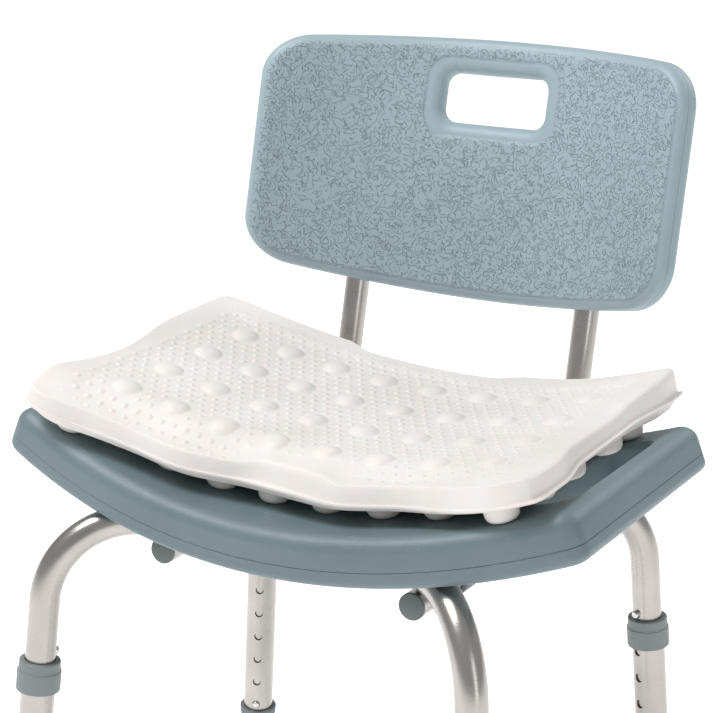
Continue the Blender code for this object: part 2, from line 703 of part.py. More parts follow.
def make_collar(leg, frame, materials):
    """The plastic ring that closes the gap at the top of an extension."""
    outer = EXTENSION_RADIUS + GAP
    bore = LEG_RADIUS + 0.0004
    top = EXTENSION_HIGH + 0.0026
    profile = [(outer, COLLAR_LOW), (0.0180, COLLAR_LOW), (0.0184, COLLAR_LOW + 0.0007)]
    profile += [(0.0184, 0.2185), (0.0176, 0.2200), (0.0172, top - 0.001), (0.0162, top), (bore, top)]
    profile += [(bore, EXTENSION_HIGH + GAP), (outer, EXTENSION_HIGH + GAP)]
    name = f"collar_{leg}"
    add_object(name, finish_mesh(name, turned(profile, ROUND_SIDES)), frame, materials["grey_plastic"])


def make_tip(leg, frame, upright_axis, materials):
    """A rubber tip over the extension's end, its sole cut level with the floor."""
    outer = EXTENSION_RADIUS + GAP
    profile = [(0, -0.006), (0.0195, -0.006), (0.0195, 0.004), (0.0178, 0.010), (0.0166, 0.028)]
    profile += [(0.0178, 0.0345), (0.0178, 0.0372), (0.0165, 0.0378), (outer, 0.0375)]
    profile += [(outer, EXTENSION_LOW - GAP), (0, EXTENSION_LOW - GAP)]
    body = turned(profile, ROUND_SIDES)
    geometry = body.verts[:] + body.edges[:] + body.faces[:]
    plane = {"plane_co": (0, 0, 0), "plane_no": upright_axis}
    cut = bmesh.ops.bisect_plane(body, geom=geometry, clear_inner=True, **plane)
    rim = [piece for piece in cut["geom_cut"] if isinstance(piece, bmesh.types.BMEdge)]
    bmesh.ops.contextual_create(body, geom=rim)
    name = f"foot_tip_{leg}"
    add_object(name, finish_mesh(name, body), frame, materials["grey_rubber"])


def make_button(name, height, frame, materials):
    """A domed pin that stands out through the tube wall, with a flange inside."""
    item = add_object(name, finish_mesh(name, turned(BUTTON_PROFILE, 8)), frame, materials["steel"])
    item.matrix_local = Matrix.Translation((0, 0, height)) @ Matrix.Rotation(math.pi / 2, 4, "Y")


def make_spring(leg, frame, materials):
    """The bent strip inside a leg tube that pushes the lock button out."""
    points = [Vector(point) for point in SPRING_CENTRE]
    outline = []
    for sign, order in ((1, points), (-1, list(reversed(points)))):
        for index, point in enumerate(order):
            before = order[max(index - 1, 0)]
            after = order[min(index + 1, len(order) - 1)]
            along = (after - before).normalized()
            outline.append(point + Vector((-along.y, along.x)) * SPRING_THICKNESS / 2)
    body = bmesh.new()
    sheets = []
    for y in (-SPRING_HALF_WIDTH, SPRING_HALF_WIDTH):
        sheets.append([body.verts.new((point.x, y, LOCK_HEIGHT + point.y)) for point in outline])
    for index in range(len(outline)):
        body.faces.new((sheets[0][index - 1], sheets[0][index], sheets[1][index], sheets[1][index - 1]))
    body.faces.new(sheets[0])
    body.faces.new(reversed(sheets[1]))
    name = f"lock_spring_{leg}"
    add_object(name, finish_mesh(name, body), frame, materials["steel"])


# Pad


def make_pad(chair, materials):
    """The loose foam pad: a plain saddle slab on the seat."""
    outline = seat_outline(PAD_HALF_WIDTH, PAD_HALF_DEPTH, 0, 0, PAD_CORNER)
    low = SEAT_ABOVE + 3 * GAP
    rows = rounded_rim(low, SEAT_ABOVE + PAD_HEIGHT, 0.006, 0.012, 2)
    strips = [SEAT_HALF_WIDTH * index / 6 for index in range(-5, 6)]
    body = slab(outline, rows, seat_point, strips)
    add_object("pad", finish_mesh("pad", body), chair, materials["pad_foam"])


def build():
    clear_scene()
    materials = make_materials()
    chair = add_empty("chair", Matrix.Translation((0, -ORIGIN_Y, 0)))
    make_seat(chair, materials)
    for leg, (x, y) in LEGS.items():
        placed = leg_matrix(x, y)
        floor_normal = placed.to_3x3().inverted() @ Vector((0, 0, 1))
        frame = add_empty(f"leg_{leg}", placed, chair)
        make_extension(leg, frame, materials)
        make_collar(leg, frame, materials)
        make_tip(leg, frame, floor_normal, materials)
        make_button(f"lock_button_{leg}", LOCK_HEIGHT, frame, materials)
        make_button(f"stop_rivet_{leg}", STOP_HEIGHT, frame, materials)
        make_spring(leg, frame, materials)
    mirrored = Vector((-DIAGONAL.x, DIAGONAL.y, 0))
    make_leg_frame("leg_frame_upper", DIAGONAL, 1, chair, ("fl", "br"), materials)
    make_leg_frame("leg_frame_lower", mirrored, -1, chair, ("fr", "bl"), materials)
    run_bottom = Vector((0, 0, LEG_RUN_Z - LEG_RADIUS - GAP))
    for leg, place in frame_screw_places().items():
        matrix = Matrix.Translation(place + run_bottom)
        make_screw(f"frame_screw_{leg}", chair, matrix, materials["steel"], FRAME_SCREW, 10)
    make_screw("middle_bolt", chair, Matrix.Translation(run_bottom), materials["steel"], MIDDLE_BOLT, 12)
    lean = Matrix.Translation((0, RECLINE_Y, SEAT_Z)) @ Matrix.Rotation(-RECLINE, 4, "X")
    back = add_empty("back", lean, chair)
    make_back(back, materials)
    for side, sign in SIDES:
        make_back_tube(side, sign * BACK_TUBE_X, chair, back, materials)
    for name, place in guide_places().items():
        make_guide(name, place, chair, materials)
    make_pad(chair, materials)


build()
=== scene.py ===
import math

import bmesh
import bpy
import numpy as np
from mathutils import Matrix, Vector


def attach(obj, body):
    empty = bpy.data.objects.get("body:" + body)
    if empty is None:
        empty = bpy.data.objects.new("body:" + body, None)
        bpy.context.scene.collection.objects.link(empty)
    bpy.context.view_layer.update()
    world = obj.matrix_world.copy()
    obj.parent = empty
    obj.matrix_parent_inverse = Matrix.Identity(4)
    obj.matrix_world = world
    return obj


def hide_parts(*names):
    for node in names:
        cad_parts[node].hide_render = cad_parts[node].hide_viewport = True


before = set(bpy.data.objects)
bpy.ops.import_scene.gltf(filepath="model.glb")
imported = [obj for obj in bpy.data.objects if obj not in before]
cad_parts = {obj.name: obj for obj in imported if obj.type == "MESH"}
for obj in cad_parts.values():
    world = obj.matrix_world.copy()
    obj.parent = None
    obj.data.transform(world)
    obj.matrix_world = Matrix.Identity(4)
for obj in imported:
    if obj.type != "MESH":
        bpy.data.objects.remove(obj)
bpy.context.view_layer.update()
shiftY = -0.0354  # pieces are modelled about the seat's middle, then moved by this
chairShift = Matrix.Translation((0, shiftY, 0))
backPivot = (0, 0.1758, 0.350)  # where the backrest's lean starts
meshDetail = {"bendSteps": 24, "merge": 0.00002, "sameHeight": 1e-5, "cornerCuts": 8, "rimCuts": 9,
              "slotRimCuts": 7}
legSigns = {"fl": (-1, -1), "fr": (1, -1), "bl": (-1, 1), "br": (1, 1)}
sideSigns = {"left": -1, "right": 1}
print("frame loaded")


# Small helpers for working in the viewport's way

def deselect():
    if bpy.context.mode != "OBJECT":
        bpy.ops.object.mode_set(mode="OBJECT")
    bpy.ops.object.select_all(action="DESELECT")


def choose(piece):
    deselect()
    piece.select_set(True)
    bpy.context.view_layer.objects.active = piece


def named(name):  # names the primitive that was just added
    piece = bpy.context.active_object
    piece.name = name
    piece.data.name = name
    return piece


def edit(piece):
    choose(piece)
    bpy.ops.object.mode_set(mode="EDIT")
    bpy.ops.mesh.select_all(action="SELECT")


def pick(piece, kind, test):  # selects the parts that pass the test, in edit mode
    bpy.ops.mesh.select_mode(type=kind)
    bpy.ops.mesh.select_all(action="DESELECT")
    mesh = bmesh.from_edit_mesh(piece.data)
    for item in {"VERT": mesh.verts, "EDGE": mesh.edges, "FACE": mesh.faces}[kind]:
        if test(item):
            item.select_set(True)
    mesh.select_flush_mode()
    bmesh.update_edit_mesh(piece.data)


def modify(piece, kind, **settings):
    choose(piece)
    modifier = piece.modifiers.new(kind, kind)
    for key, value in settings.items():
        setattr(modifier, key, value)
    bpy.ops.object.modifier_apply(modifier=modifier.name)


def cut(piece, cutter, operation="DIFFERENCE"):
    modify(piece, "BOOLEAN", object=cutter, operation=operation, solver="EXACT")
    bpy.data.objects.remove(cutter)


def place(piece, matrix):  # turns and moves a mesh, with its object left at the origin
    piece.data.transform(matrix @ piece.matrix_world)
    piece.matrix_world = Matrix.Identity(4)
    return piece


def twin(piece, name, matrix):  # a copy with its own mesh
    copied = piece.copy()
    copied.data = piece.data.copy()
    copied.name = name
    copied.data.name = name
    bpy.context.scene.collection.objects.link(copied)
    return place(copied, matrix)


def shape(piece, move):  # moves every point of a mesh by move(x, y, z)
    for vert in piece.data.vertices:
        vert.co = move(*vert.co)
    piece.data.update()


def finish(piece, body, nodes, material, angle=38):
    place(piece, chairShift)
    choose(piece)
    bpy.ops.object.shade_smooth_by_angle(angle=math.radians(angle))
    modify(piece, "WEIGHTED_NORMAL", keep_sharp=True)
    piece.data.materials.clear()
    piece.data.materials.append(material)
    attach(piece, body)
    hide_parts(*nodes)


def turned(name, rows, sides=48, ring=False):  # rows of (radius, height), as on a lathe
    radius, height = rows[0]
    bpy.ops.mesh.primitive_circle_add(vertices=sides, radius=radius, location=(0, 0, 0))
    piece = named(name)
    edit(piece)
    bpy.ops.transform.translate(value=(0, 0, height))
    for wider, higher in rows[1:]:
        bpy.ops.mesh.extrude_region_move(TRANSFORM_OT_translate={"value": (0, 0, higher - height)})
        ratio = wider / radius
        bpy.ops.transform.resize(value=(ratio, ratio, 1), center_override=(0, 0, higher))
        radius, height = wider, higher
    bpy.ops.mesh.select_all(action="DESELECT")
    bpy.ops.mesh.select_mode(type="EDGE")
    bpy.ops.mesh.select_non_manifold()
    if ring:
        bpy.ops.mesh.bridge_edge_loops()
    else:
        bpy.ops.mesh.fill_holes(sides=0)
    bpy.ops.mesh.select_all(action="SELECT")
    bpy.ops.mesh.normals_make_consistent(inside=False)
    deselect()
    return piece


def arcRows(radius, height, corner, start, end, steps=5):  # rounds a lathe profile's corner
    rows = []
    for step in range(steps + 1):
        angle = math.radians(start + (end - start) * step / steps)
        rows.append((radius + corner * math.cos(angle), height + corner * math.sin(angle)))
    return rows


def bentTube(name, start, heading, steps, radius, wall, sides=40):
    # a step is ("go", length, cuts) or ("turn", bend radius, degrees, side)
    # side points from the tube to the bend's centre
    bpy.ops.mesh.primitive_circle_add(vertices=sides, radius=radius)
    piece = named(name)
    place(piece, Matrix.Translation(start) @ heading.to_track_quat("Z", "Y").to_matrix().to_4x4())
    edit(piece)
    spot = start.copy()
    for kind, amount, extra, *side in steps:
        if kind == "go":
            for _ in range(extra):
                move = heading * amount / extra
                bpy.ops.mesh.extrude_region_move(TRANSFORM_OT_translate={"value": tuple(move)})
            spot += heading * amount
            continue
        centre = spot + side[0] * amount
        axis = heading.cross(side[0]).normalized()
        turn = Matrix.Rotation(math.radians(extra), 4, axis)
        bpy.ops.mesh.spin(steps=meshDetail["bendSteps"], angle=-math.radians(extra), center=tuple(centre),
                          axis=tuple(axis))
        spot = centre + turn @ (spot - centre)
        heading = turn @ heading
    bpy.ops.mesh.select_all(action="SELECT")
    bpy.ops.mesh.remove_doubles(threshold=meshDetail["merge"])
    bpy.ops.mesh.normals_make_consistent(inside=False)
    deselect()
    shell = bmesh.new()
    shell.from_mesh(piece.data)
    outwards = sum(f.normal.dot(f.calc_center_median() - start) > 0 for f in shell.faces[:sides])
    shell.free()
    if outwards < sides / 2:
        edit(piece)
        bpy.ops.mesh.flip_normals()
        deselect()
    modify(piece, "SOLIDIFY", thickness=wall, offset=-1)
    return piece


def roundedCutter(name, width, length, height, corner, matrix):  # a box with rounded upright edges
    bpy.ops.mesh.primitive_cube_add(size=1, scale=(width, length, height))
    piece = named(name)
    bpy.ops.object.transform_apply(location=False, rotation=False, scale=True)
    edit(piece)
    pick(piece, "EDGE", lambda e: abs(e.verts[0].co.z - e.verts[1].co.z) > height / 2)
    bpy.ops.mesh.bevel(offset=corner, segments=meshDetail["cornerCuts"], profile=0.5)
    deselect()
    return place(piece, matrix)


def rod(name, radius, depth, matrix, sides=32):  # a plain round cutter centred on its own middle
    bpy.ops.mesh.primitive_cylinder_add(vertices=sides, radius=radius, depth=depth)
    return place(named(name), matrix)


# Materials

class Wire:  # one socket, with the shader's maths as plain expressions
    def __init__(self, tree, socket):
        self.tree = tree
        self.socket = socket

    def math(self, operation, *others):
        node = self.tree.nodes.new("ShaderNodeMath")
        node.operation = operation
        for socket, value in zip(node.inputs, (self, *others)):
            if isinstance(value, Wire):
                self.tree.links.new(value.socket, socket)
            else:
                socket.default_value = value
        return Wire(self.tree, node.outputs[0])

    def __add__(self, other):
        return self.math("ADD", other)

    __radd__ = __add__

    def __mul__(self, other):
        return self.math("MULTIPLY", other)

    __rmul__ = __mul__

    def __sub__(self, other):
        return self.math("SUBTRACT", other)

    def __rsub__(self, other):
        return (self * -1) + other

    def __truediv__(self, other):
        return self.math("DIVIDE", other)

    def __abs__(self):
        return self.math("ABSOLUTE")

    def atLeast(self, other):
        return self.math("MAXIMUM", other)

    def atMost(self, other):
        return self.math("MINIMUM", other)

    def ramp(self, low, high):  # 0 below low and 1 above high, smooth between them
        node = self.tree.nodes.new("ShaderNodeMapRange")
        node.interpolation_type = "SMOOTHSTEP"
        self.tree.links.new(self.socket, node.inputs["Value"])
        node.inputs["From Min"].default_value = low
        node.inputs["From Max"].default_value = high
        return Wire(self.tree, node.outputs["Result"])


class Paint:  # one material and its nodes
    def __init__(self, name, **values):
        self.material = bpy.data.materials.new(name)
        self.material.use_nodes = True
        self.tree = self.material.node_tree
        self.shader = self.tree.nodes["Principled BSDF"]
        for key, value in values.items():
            self.shader.inputs[key.replace("_", " ")].default_value = value

    def node(self, kind, settings, **values):
        node = self.tree.nodes.new(kind)
        for key, value in settings.items():
            setattr(node, key, value)
        for key, value in values.items():
            socket = node.inputs[key.replace("_", " ")]
            if isinstance(value, Wire):
                self.tree.links.new(value.socket, socket)
            else:
                socket.default_value = value
        return node

    def wire(self, node, output=0):
        return Wire(self.tree, node.outputs[output])

    def coordinates(self):
        return self.wire(self.node("ShaderNodeTexCoord", {}), "Object")

    def turnedCoordinates(self, location, rotation, scale=(1, 1, 1)):
        settings = {"vector_type": "TEXTURE"}
        mapping = self.node("ShaderNodeMapping", settings, Vector=self.coordinates(), Location=location,
                            Rotation=rotation, Scale=scale)
        return self.wire(mapping)

    def noise(self, vector, scale, detail=2.0, distortion=0.0, rough=0.5):
        return self.wire(self.node("ShaderNodeTexNoise", {}, Vector=vector, Scale=scale, Detail=detail,
                                   Roughness=rough, Distortion=distortion), "Fac")

    def split(self, vector):
        node = self.node("ShaderNodeSeparateXYZ", {}, Vector=vector)
        return [self.wire(node, axis) for axis in "XYZ"]

    def mix(self, share, first, second):
        node = self.tree.nodes.new("ShaderNodeMix")
        node.data_type = "RGBA"
        self.tree.links.new(share.socket, node.inputs["Factor"])
        for socket, value in ((node.inputs[6], first), (node.inputs[7], second)):
            if isinstance(value, Wire):
                self.tree.links.new(value.socket, socket)
            else:
                socket.default_value = (*value, 1)
        return Wire(self.tree, node.outputs[2])

    def feed(self, socket, wire):
        self.tree.links.new(wire.socket, self.shader.inputs[socket])

    def bump(self, height, distance, strength=1.0, onto=None):
        node = self.node("ShaderNodeBump", {}, Height=height, Distance=distance, Strength=strength)
        if onto:
            self.tree.links.new(onto.socket, node.inputs["Normal"])
        wire = self.wire(node)
        self.feed("Normal", wire)
        return wire


def linear(level):  # one channel, 0 to 255
    share = level / 255
    return share / 12.92 if level < 10.4 else ((share + 0.055) / 1.055) ** 2.4


def srgb(red, green, blue):  # 0 to 255, as a painter's swatch gives it
    return tuple(linear(level) for level in (red, green, blue))


def roundedMask(x, y, halfX, halfY, corner):  # signed distance to a rounded rectangle, minus inside
    dx = abs(x) - (halfX - corner)
    dy = abs(y) - (halfY - corner)
    outX, outY = dx.atLeast(0.0), dy.atLeast(0.0)
    return (outX * outX + outY * outY).math("SQRT") + dx.atLeast(dy).atMost(0.0) - corner


def shaded(colour, factor):
    return tuple(min(1, c * factor) for c in colour)


# The seat's colour is partly the plastic's own blue-grey and partly painted shade: it is made darker so that
# the seat's sides come out as dark as they do in shade.
seatLook = {"colour": srgb(104, 122, 126), "dark": 0.92, "light": 1.05, "cloudScale": 9, "roughness": 0.46,
            "scratch": srgb(190, 205, 208), "scratchShare": 0.35, "scratchTurn": math.radians(35),
            "scratchStretch": (3.0, 0.22, 1), "scratchScale": 240, "patchScale": 22, "grainScale": 620.0,
            "fineScale": 1500, "grainDepth": 0.00022}


def seatPlastic():
    paint = Paint("seat plastic", Roughness=seatLook["roughness"], Coat_Weight=0.06, Coat_Roughness=0.35)
    where = paint.coordinates()
    cloud = paint.noise(where, seatLook["cloudScale"], 3)
    tone = paint.mix(cloud.ramp(0.3, 0.7), shaded(seatLook["colour"], seatLook["dark"]),
                     shaded(seatLook["colour"], seatLook["light"]))
    slant = paint.turnedCoordinates((0, 0, 0), (0, 0, seatLook["scratchTurn"]), seatLook["scratchStretch"])
    patches = paint.noise(where, seatLook["patchScale"], 2).ramp(0.55, 0.7)
    scratches = paint.noise(slant, seatLook["scratchScale"], 2).ramp(0.66, 0.72) * patches
    paint.feed("Base Color", paint.mix(scratches * seatLook["scratchShare"], tone, seatLook["scratch"]))
    paint.feed("Roughness", 0.40 + paint.noise(where, 60, 3) * 0.16 + scratches * 0.1)
    grain = paint.node("ShaderNodeTexVoronoi", {"feature": "SMOOTH_F1"}, Vector=where,
                       Scale=seatLook["grainScale"], Smoothness=0.6)
    fine = paint.wire(grain, "Distance") + paint.noise(where, seatLook["fineScale"], 2) * 0.4
    paint.bump(fine, seatLook["grainDepth"], 0.55)
    return paint.material


# The darker tone for the wrinkle grooves and its share are painted shade: they darken the grooves where the
# relief's shade falls.
backLook = {"colour": srgb(146, 165, 171), "dark": 0.96, "light": 1.04, "cloudScale": 7, "creaseShadeTone": 0.60,
            "creaseShadeShare": 0.20, "wrinkleScale": 140, "crossedScale": 150, "wrinkleWidth": (0.008, 0.036),
            "breakScale": 190, "wrinkleDepth": 0.0012, "fineScale": 1300, "fineDepth": 0.00008,
            "cornerShare": 0.75, "gripBorder": 0.013, "gripCorner": 0.02}


def backPlastic(size):
    paint = Paint("backrest plastic", Roughness=0.5, Coat_Weight=0.05, Coat_Roughness=0.4)
    upright = paint.turnedCoordinates(size["foot"], (-size["recline"], 0, 0))
    x, _, u = paint.split(upright)
    bow = 1 - (x / size["halfWidth"]) * (x / size["halfWidth"])
    upper = size["top"] + bow * size["crown"]
    lower = size["bottom"] - bow * size["sag"]
    middle, halfHeight = (upper + lower) * 0.5, (upper - lower) * 0.5
    edge = roundedMask(x, u - middle, size["halfWidth"] - size["border"], halfHeight - size["border"],
                       size["corner"] * backLook["cornerShare"])
    gripX = size["gripHalf"] + backLook["gripBorder"]
    gripUp = (size["gripHigh"] - size["gripLow"]) / 2 + backLook["gripBorder"]
    hole = roundedMask(x, u - (size["gripLow"] + size["gripHigh"]) / 2, gripX, gripUp, backLook["gripCorner"])
    inside = (1 - edge.ramp(-0.0030, 0.0010)) * hole.ramp(-0.0012, 0.0030)
    winding = paint.noise(upright, backLook["wrinkleScale"], 0.3, 1.1)
    turnedAway = paint.turnedCoordinates((0.4, 0.3, 0.2), (0.5, 0.2, 0.7))
    crossed = paint.noise(turnedAway, backLook["crossedScale"], 0.3, 1.1)
    first = 1 - abs(winding - 0.5).ramp(*backLook["wrinkleWidth"])
    second = 1 - abs(crossed - 0.5).ramp(*backLook["wrinkleWidth"])
    broken = paint.noise(upright, backLook["breakScale"], 0.5).ramp(0.44, 0.54)
    relief = (first * broken).atLeast(second * (1 - broken))
    cloud = paint.noise(upright, backLook["cloudScale"], 3)
    tone = paint.mix(cloud.ramp(0.3, 0.7), shaded(backLook["colour"], backLook["dark"]),
                     shaded(backLook["colour"], backLook["light"]))
    # Painted shade: the wrinkle grooves get a darker copy of the plastic's colour, which stands in for the
    # shade in the creases.
    creaseShade = shaded(backLook["colour"], backLook["creaseShadeTone"])
    paint.feed("Base Color", paint.mix(relief * inside * backLook["creaseShadeShare"], tone, creaseShade))
    paint.feed("Roughness", 0.42 + paint.noise(upright, 50, 3) * 0.14 + inside * 0.06)
    fine = paint.bump(paint.noise(upright, backLook["fineScale"], 2), backLook["fineDepth"], 0.5)
    paint.bump((1 - relief) * inside, backLook["wrinkleDepth"], 1.0, fine)
    return paint.material


metalLook = {"colour": srgb(176, 171, 166), "dark": 0.93, "light": 1.05, "rough": 0.27, "patchScale": 26,
             "speckScale": 480, "grainScale": 2100, "grainDepth": 0.00006}


def satinAluminium():
    colour, rough = metalLook["colour"], metalLook["rough"]
    paint = Paint("satin aluminium", Metallic=1.0, Roughness=rough)
    where = paint.coordinates()
    patches = paint.noise(where, metalLook["patchScale"], 4)
    paint.feed("Base Color", paint.mix(patches.ramp(0.3, 0.75), shaded(colour, metalLook["dark"]),
                                       shaded(colour, metalLook["light"])))
    grain = paint.noise(where, metalLook["grainScale"], 2)
    specks = paint.noise(where, metalLook["speckScale"], 3).ramp(0.6, 0.75)
    paint.feed("Roughness", rough - 0.04 + patches * 0.08 + specks * 0.05)
    paint.bump(grain, metalLook["grainDepth"], 0.35)
    return paint.material


def greyPlastic(name, tone):
    colour = srgb(*tone)
    paint = Paint(name, Roughness=0.5)
    where = paint.coordinates()
    paint.feed("Base Color", paint.mix(paint.noise(where, 40, 3), shaded(colour, 0.93), shaded(colour, 1.07)))
    paint.feed("Roughness", 0.44 + paint.noise(where, 120, 3) * 0.14)
    paint.bump(paint.noise(where, 900, 3), 0.00012, 0.4)
    return paint.material


rubberLook = {"colour": srgb(118, 124, 126), "dust": srgb(150, 152, 150), "dustTop": 0.02}


def tipRubber():
    paint = Paint("tip rubber", Roughness=0.8)
    where = paint.coordinates()
    z = paint.split(where)[2]
    dust = paint.noise(where, 70, 4) * (1 - z.ramp(0.0, rubberLook["dustTop"]))
    paint.feed("Base Color", paint.mix(dust, rubberLook["colour"], rubberLook["dust"]))
    paint.feed("Roughness", 0.72 + paint.noise(where, 150, 3) * 0.16)
    paint.bump(paint.noise(where, 1100, 3), 0.00015, 0.5)
    return paint.material


steelLook = {"dull": srgb(188, 188, 186), "bright": srgb(212, 212, 210)}


def brightSteel(name):
    paint = Paint(name, Metallic=1.0, Roughness=0.24)
    where = paint.coordinates()
    smears = paint.noise(where, 90, 3)
    paint.feed("Base Color", paint.mix(smears, steelLook["dull"], steelLook["bright"]))
    paint.feed("Roughness", 0.16 + smears * 0.16)
    paint.bump(paint.noise(where, 1800, 2), 0.00003, 0.3)
    return paint.material


foamLook = {"dark": srgb(220, 214, 209), "light": srgb(227, 222, 218)}


def padFoam():
    paint = Paint("pad foam", Roughness=0.55, Subsurface_Weight=0.12, Subsurface_Scale=0.004)
    where = paint.coordinates()
    cloud = paint.noise(where, 12, 3)
    paint.feed("Base Color", paint.mix(cloud.ramp(0.3, 0.7), foamLook["dark"], foamLook["light"]))
    paint.feed("Roughness", 0.46 + paint.noise(where, 85, 3) * 0.18)
    paint.bump(paint.noise(where, 1000, 3), 0.00010, 0.35)
    return paint.material


# Seat

seatSize = {"halfWidth": 0.259, "halfDepth": 0.1324, "frontBulge": 0.0337, "backBulge": 0.010, "rise": 0.0517,
            "height": 0.350, "above": 0.026, "below": 0.014, "corner": 0.016, "topRound": 0.013,
            "underRound": 0.008, "holdX": 0.2215, "holdWidth": 0.036, "holdLength": 0.166,
            "holdCorner": 0.014, "holdRound": 0.0052, "seam": 0.0005, "seamDepth": 0.0006, "pocket": 0.052,
            "grooveGap": 0.0006}


def filleted(points, corners, radius, steps):
    chain = []
    for index, point in enumerate(points):
        if index not in corners:
            chain.append(point)
            continue
        toLast = (points[index - 1] - point).normalized()
        toNext = (points[(index + 1) % len(points)] - point).normalized()
        half = toLast.angle(toNext) / 2
        centre = point + (toLast + toNext).normalized() * radius / math.sin(half)
        first = point + toLast * radius / math.tan(half) - centre
        last = point + toNext * radius / math.tan(half) - centre
        sweep = first.angle(last)
        for step in range(steps + 1):
            share = step / steps
            along = first * math.sin(sweep * (1 - share)) + last * math.sin(sweep * share)
            chain.append(centre + along / math.sin(sweep))
    return chain


def bowedOutline(halfWidth, low, lowBulge, high, highBulge, corner, stations):
    # anticlockwise from the low side's left end; both long sides bow outwards
    keepOut = 1 - 1.25 * corner / halfWidth
    shares = [-1] + [keepOut * (2 * i / stations - 1) for i in range(stations + 1)] + [1]
    points = [Vector((halfWidth * s, low - lowBulge * (1 - s * s))) for s in shares]
    points += [Vector((halfWidth * -s, high + highBulge * (1 - s * s))) for s in shares]
    last = len(shares) - 1
    return filleted(points, (0, last, last + 1, 2 * last + 1), corner, 14)


def flatPlate(name, outline, low, high, lowRound, highRound):
    bpy.ops.mesh.primitive_circle_add(vertices=len(outline), radius=0.1, fill_type="NGON")
    piece = named(name)
    for vert, point in zip(piece.data.vertices, outline):
        vert.co = (point.x, point.y, low)
    edit(piece)
    bpy.ops.mesh.extrude_region_move(TRANSFORM_OT_translate={"value": (0, 0, high - low)})
    for height, corner in ((high, highRound), (low, lowRound)):
        pick(piece, "EDGE", lambda e: all(abs(v.co.z - height) < meshDetail["sameHeight"] for v in e.verts))
        bpy.ops.mesh.bevel(offset=corner, segments=meshDetail["rimCuts"], profile=0.5, clamp_overlap=False)
    bpy.ops.mesh.select_all(action="SELECT")
    bpy.ops.mesh.normals_make_consistent(inside=False)
    deselect()
    return piece


def roundRims(piece, centre, halfX, halfY, heights, amount):  # rounds a slot's rims in the flat plate
    edit(piece)

    def onRim(edge):
        spots = [v.co for v in edge.verts]
        level = any(all(abs(s.z - height) < meshDetail["sameHeight"] for s in spots) for height in heights)
        near = all(abs(s.x - centre[0]) < halfX + 1e-4 and abs(s.y - centre[1]) < halfY + 1e-4 for s in spots)
        return level and near

    pick(piece, "EDGE", onRim)
    bpy.ops.mesh.bevel(offset=amount, segments=meshDetail["slotRimCuts"], profile=0.5, clamp_overlap=False)
    deselect()


def strip(piece, halfWidth, count):  # cuts the plate across, so that it can bend
    edit(piece)
    for index in range(1, count):
        bpy.ops.mesh.select_all(action="SELECT")
        x = halfWidth * (2 * index / count - 1)
        bpy.ops.mesh.bisect(plane_co=(x, 0, 0), plane_no=(1, 0, 0))
    bpy.ops.mesh.select_all(action="SELECT")
    bpy.ops.mesh.quads_convert_to_tris()
    deselect()


def seatPoint(x, y, height):
    slope = 2 * seatSize["rise"] * x / seatSize["halfWidth"] ** 2
    length = math.hypot(1, slope)
    rise = seatSize["height"] + seatSize["rise"] * (x / seatSize["halfWidth"]) ** 2
    return Vector((x - height * slope / length, y, rise + height / length))


def makeSeat():
    outline = bowedOutline(seatSize["halfWidth"], -seatSize["halfDepth"], seatSize["frontBulge"],
                           seatSize["halfDepth"], seatSize["backBulge"], seatSize["corner"], 44)
    piece = flatPlate("seat_moulding", outline, -seatSize["below"], seatSize["above"],
                      seatSize["underRound"], seatSize["topRound"])
    edit(piece)
    bpy.ops.mesh.bisect(plane_co=(0, 0, 0), plane_no=(0, 0, 1))
    bpy.ops.mesh.bevel(offset=seatSize["seam"], segments=2, profile=0.5)
    pick(piece, "VERT", lambda v: abs(v.co.z) < meshDetail["sameHeight"])
    bpy.ops.transform.shrink_fatten(value=-seatSize["seamDepth"])
    deselect()
    for side in (-1, 1):
        spot = Matrix.Translation((side * seatSize["holdX"], 0, 0))
        cut(piece, roundedCutter("hold cutter", seatSize["holdWidth"], seatSize["holdLength"], 0.2,
                                 seatSize["holdCorner"], spot))
    for side in (-1, 1):
        roundRims(piece, (side * seatSize["holdX"], 0), seatSize["holdWidth"] / 2, seatSize["holdLength"] / 2,
                  (-seatSize["below"], seatSize["above"]), seatSize["holdRound"])
    strip(piece, seatSize["halfWidth"], 64)
    shape(piece, seatPoint)
    return piece


seat = makeSeat()
print("seat modelled", len(seat.data.polygons))

# Leg frames

legSize = {"diagonal": Vector((0.1997, 0.1758, 0)).normalized(), "reach": 0.26606, "reachHeight": 0.2137,
           "splay": math.radians(5.5), "radius": 0.0127, "wall": 0.0013, "runHeight": 0.3435, "bend": 0.072,
           "end": 0.029, "flat": 0.0060, "flatFrom": 0.046, "flatFull": 0.026}


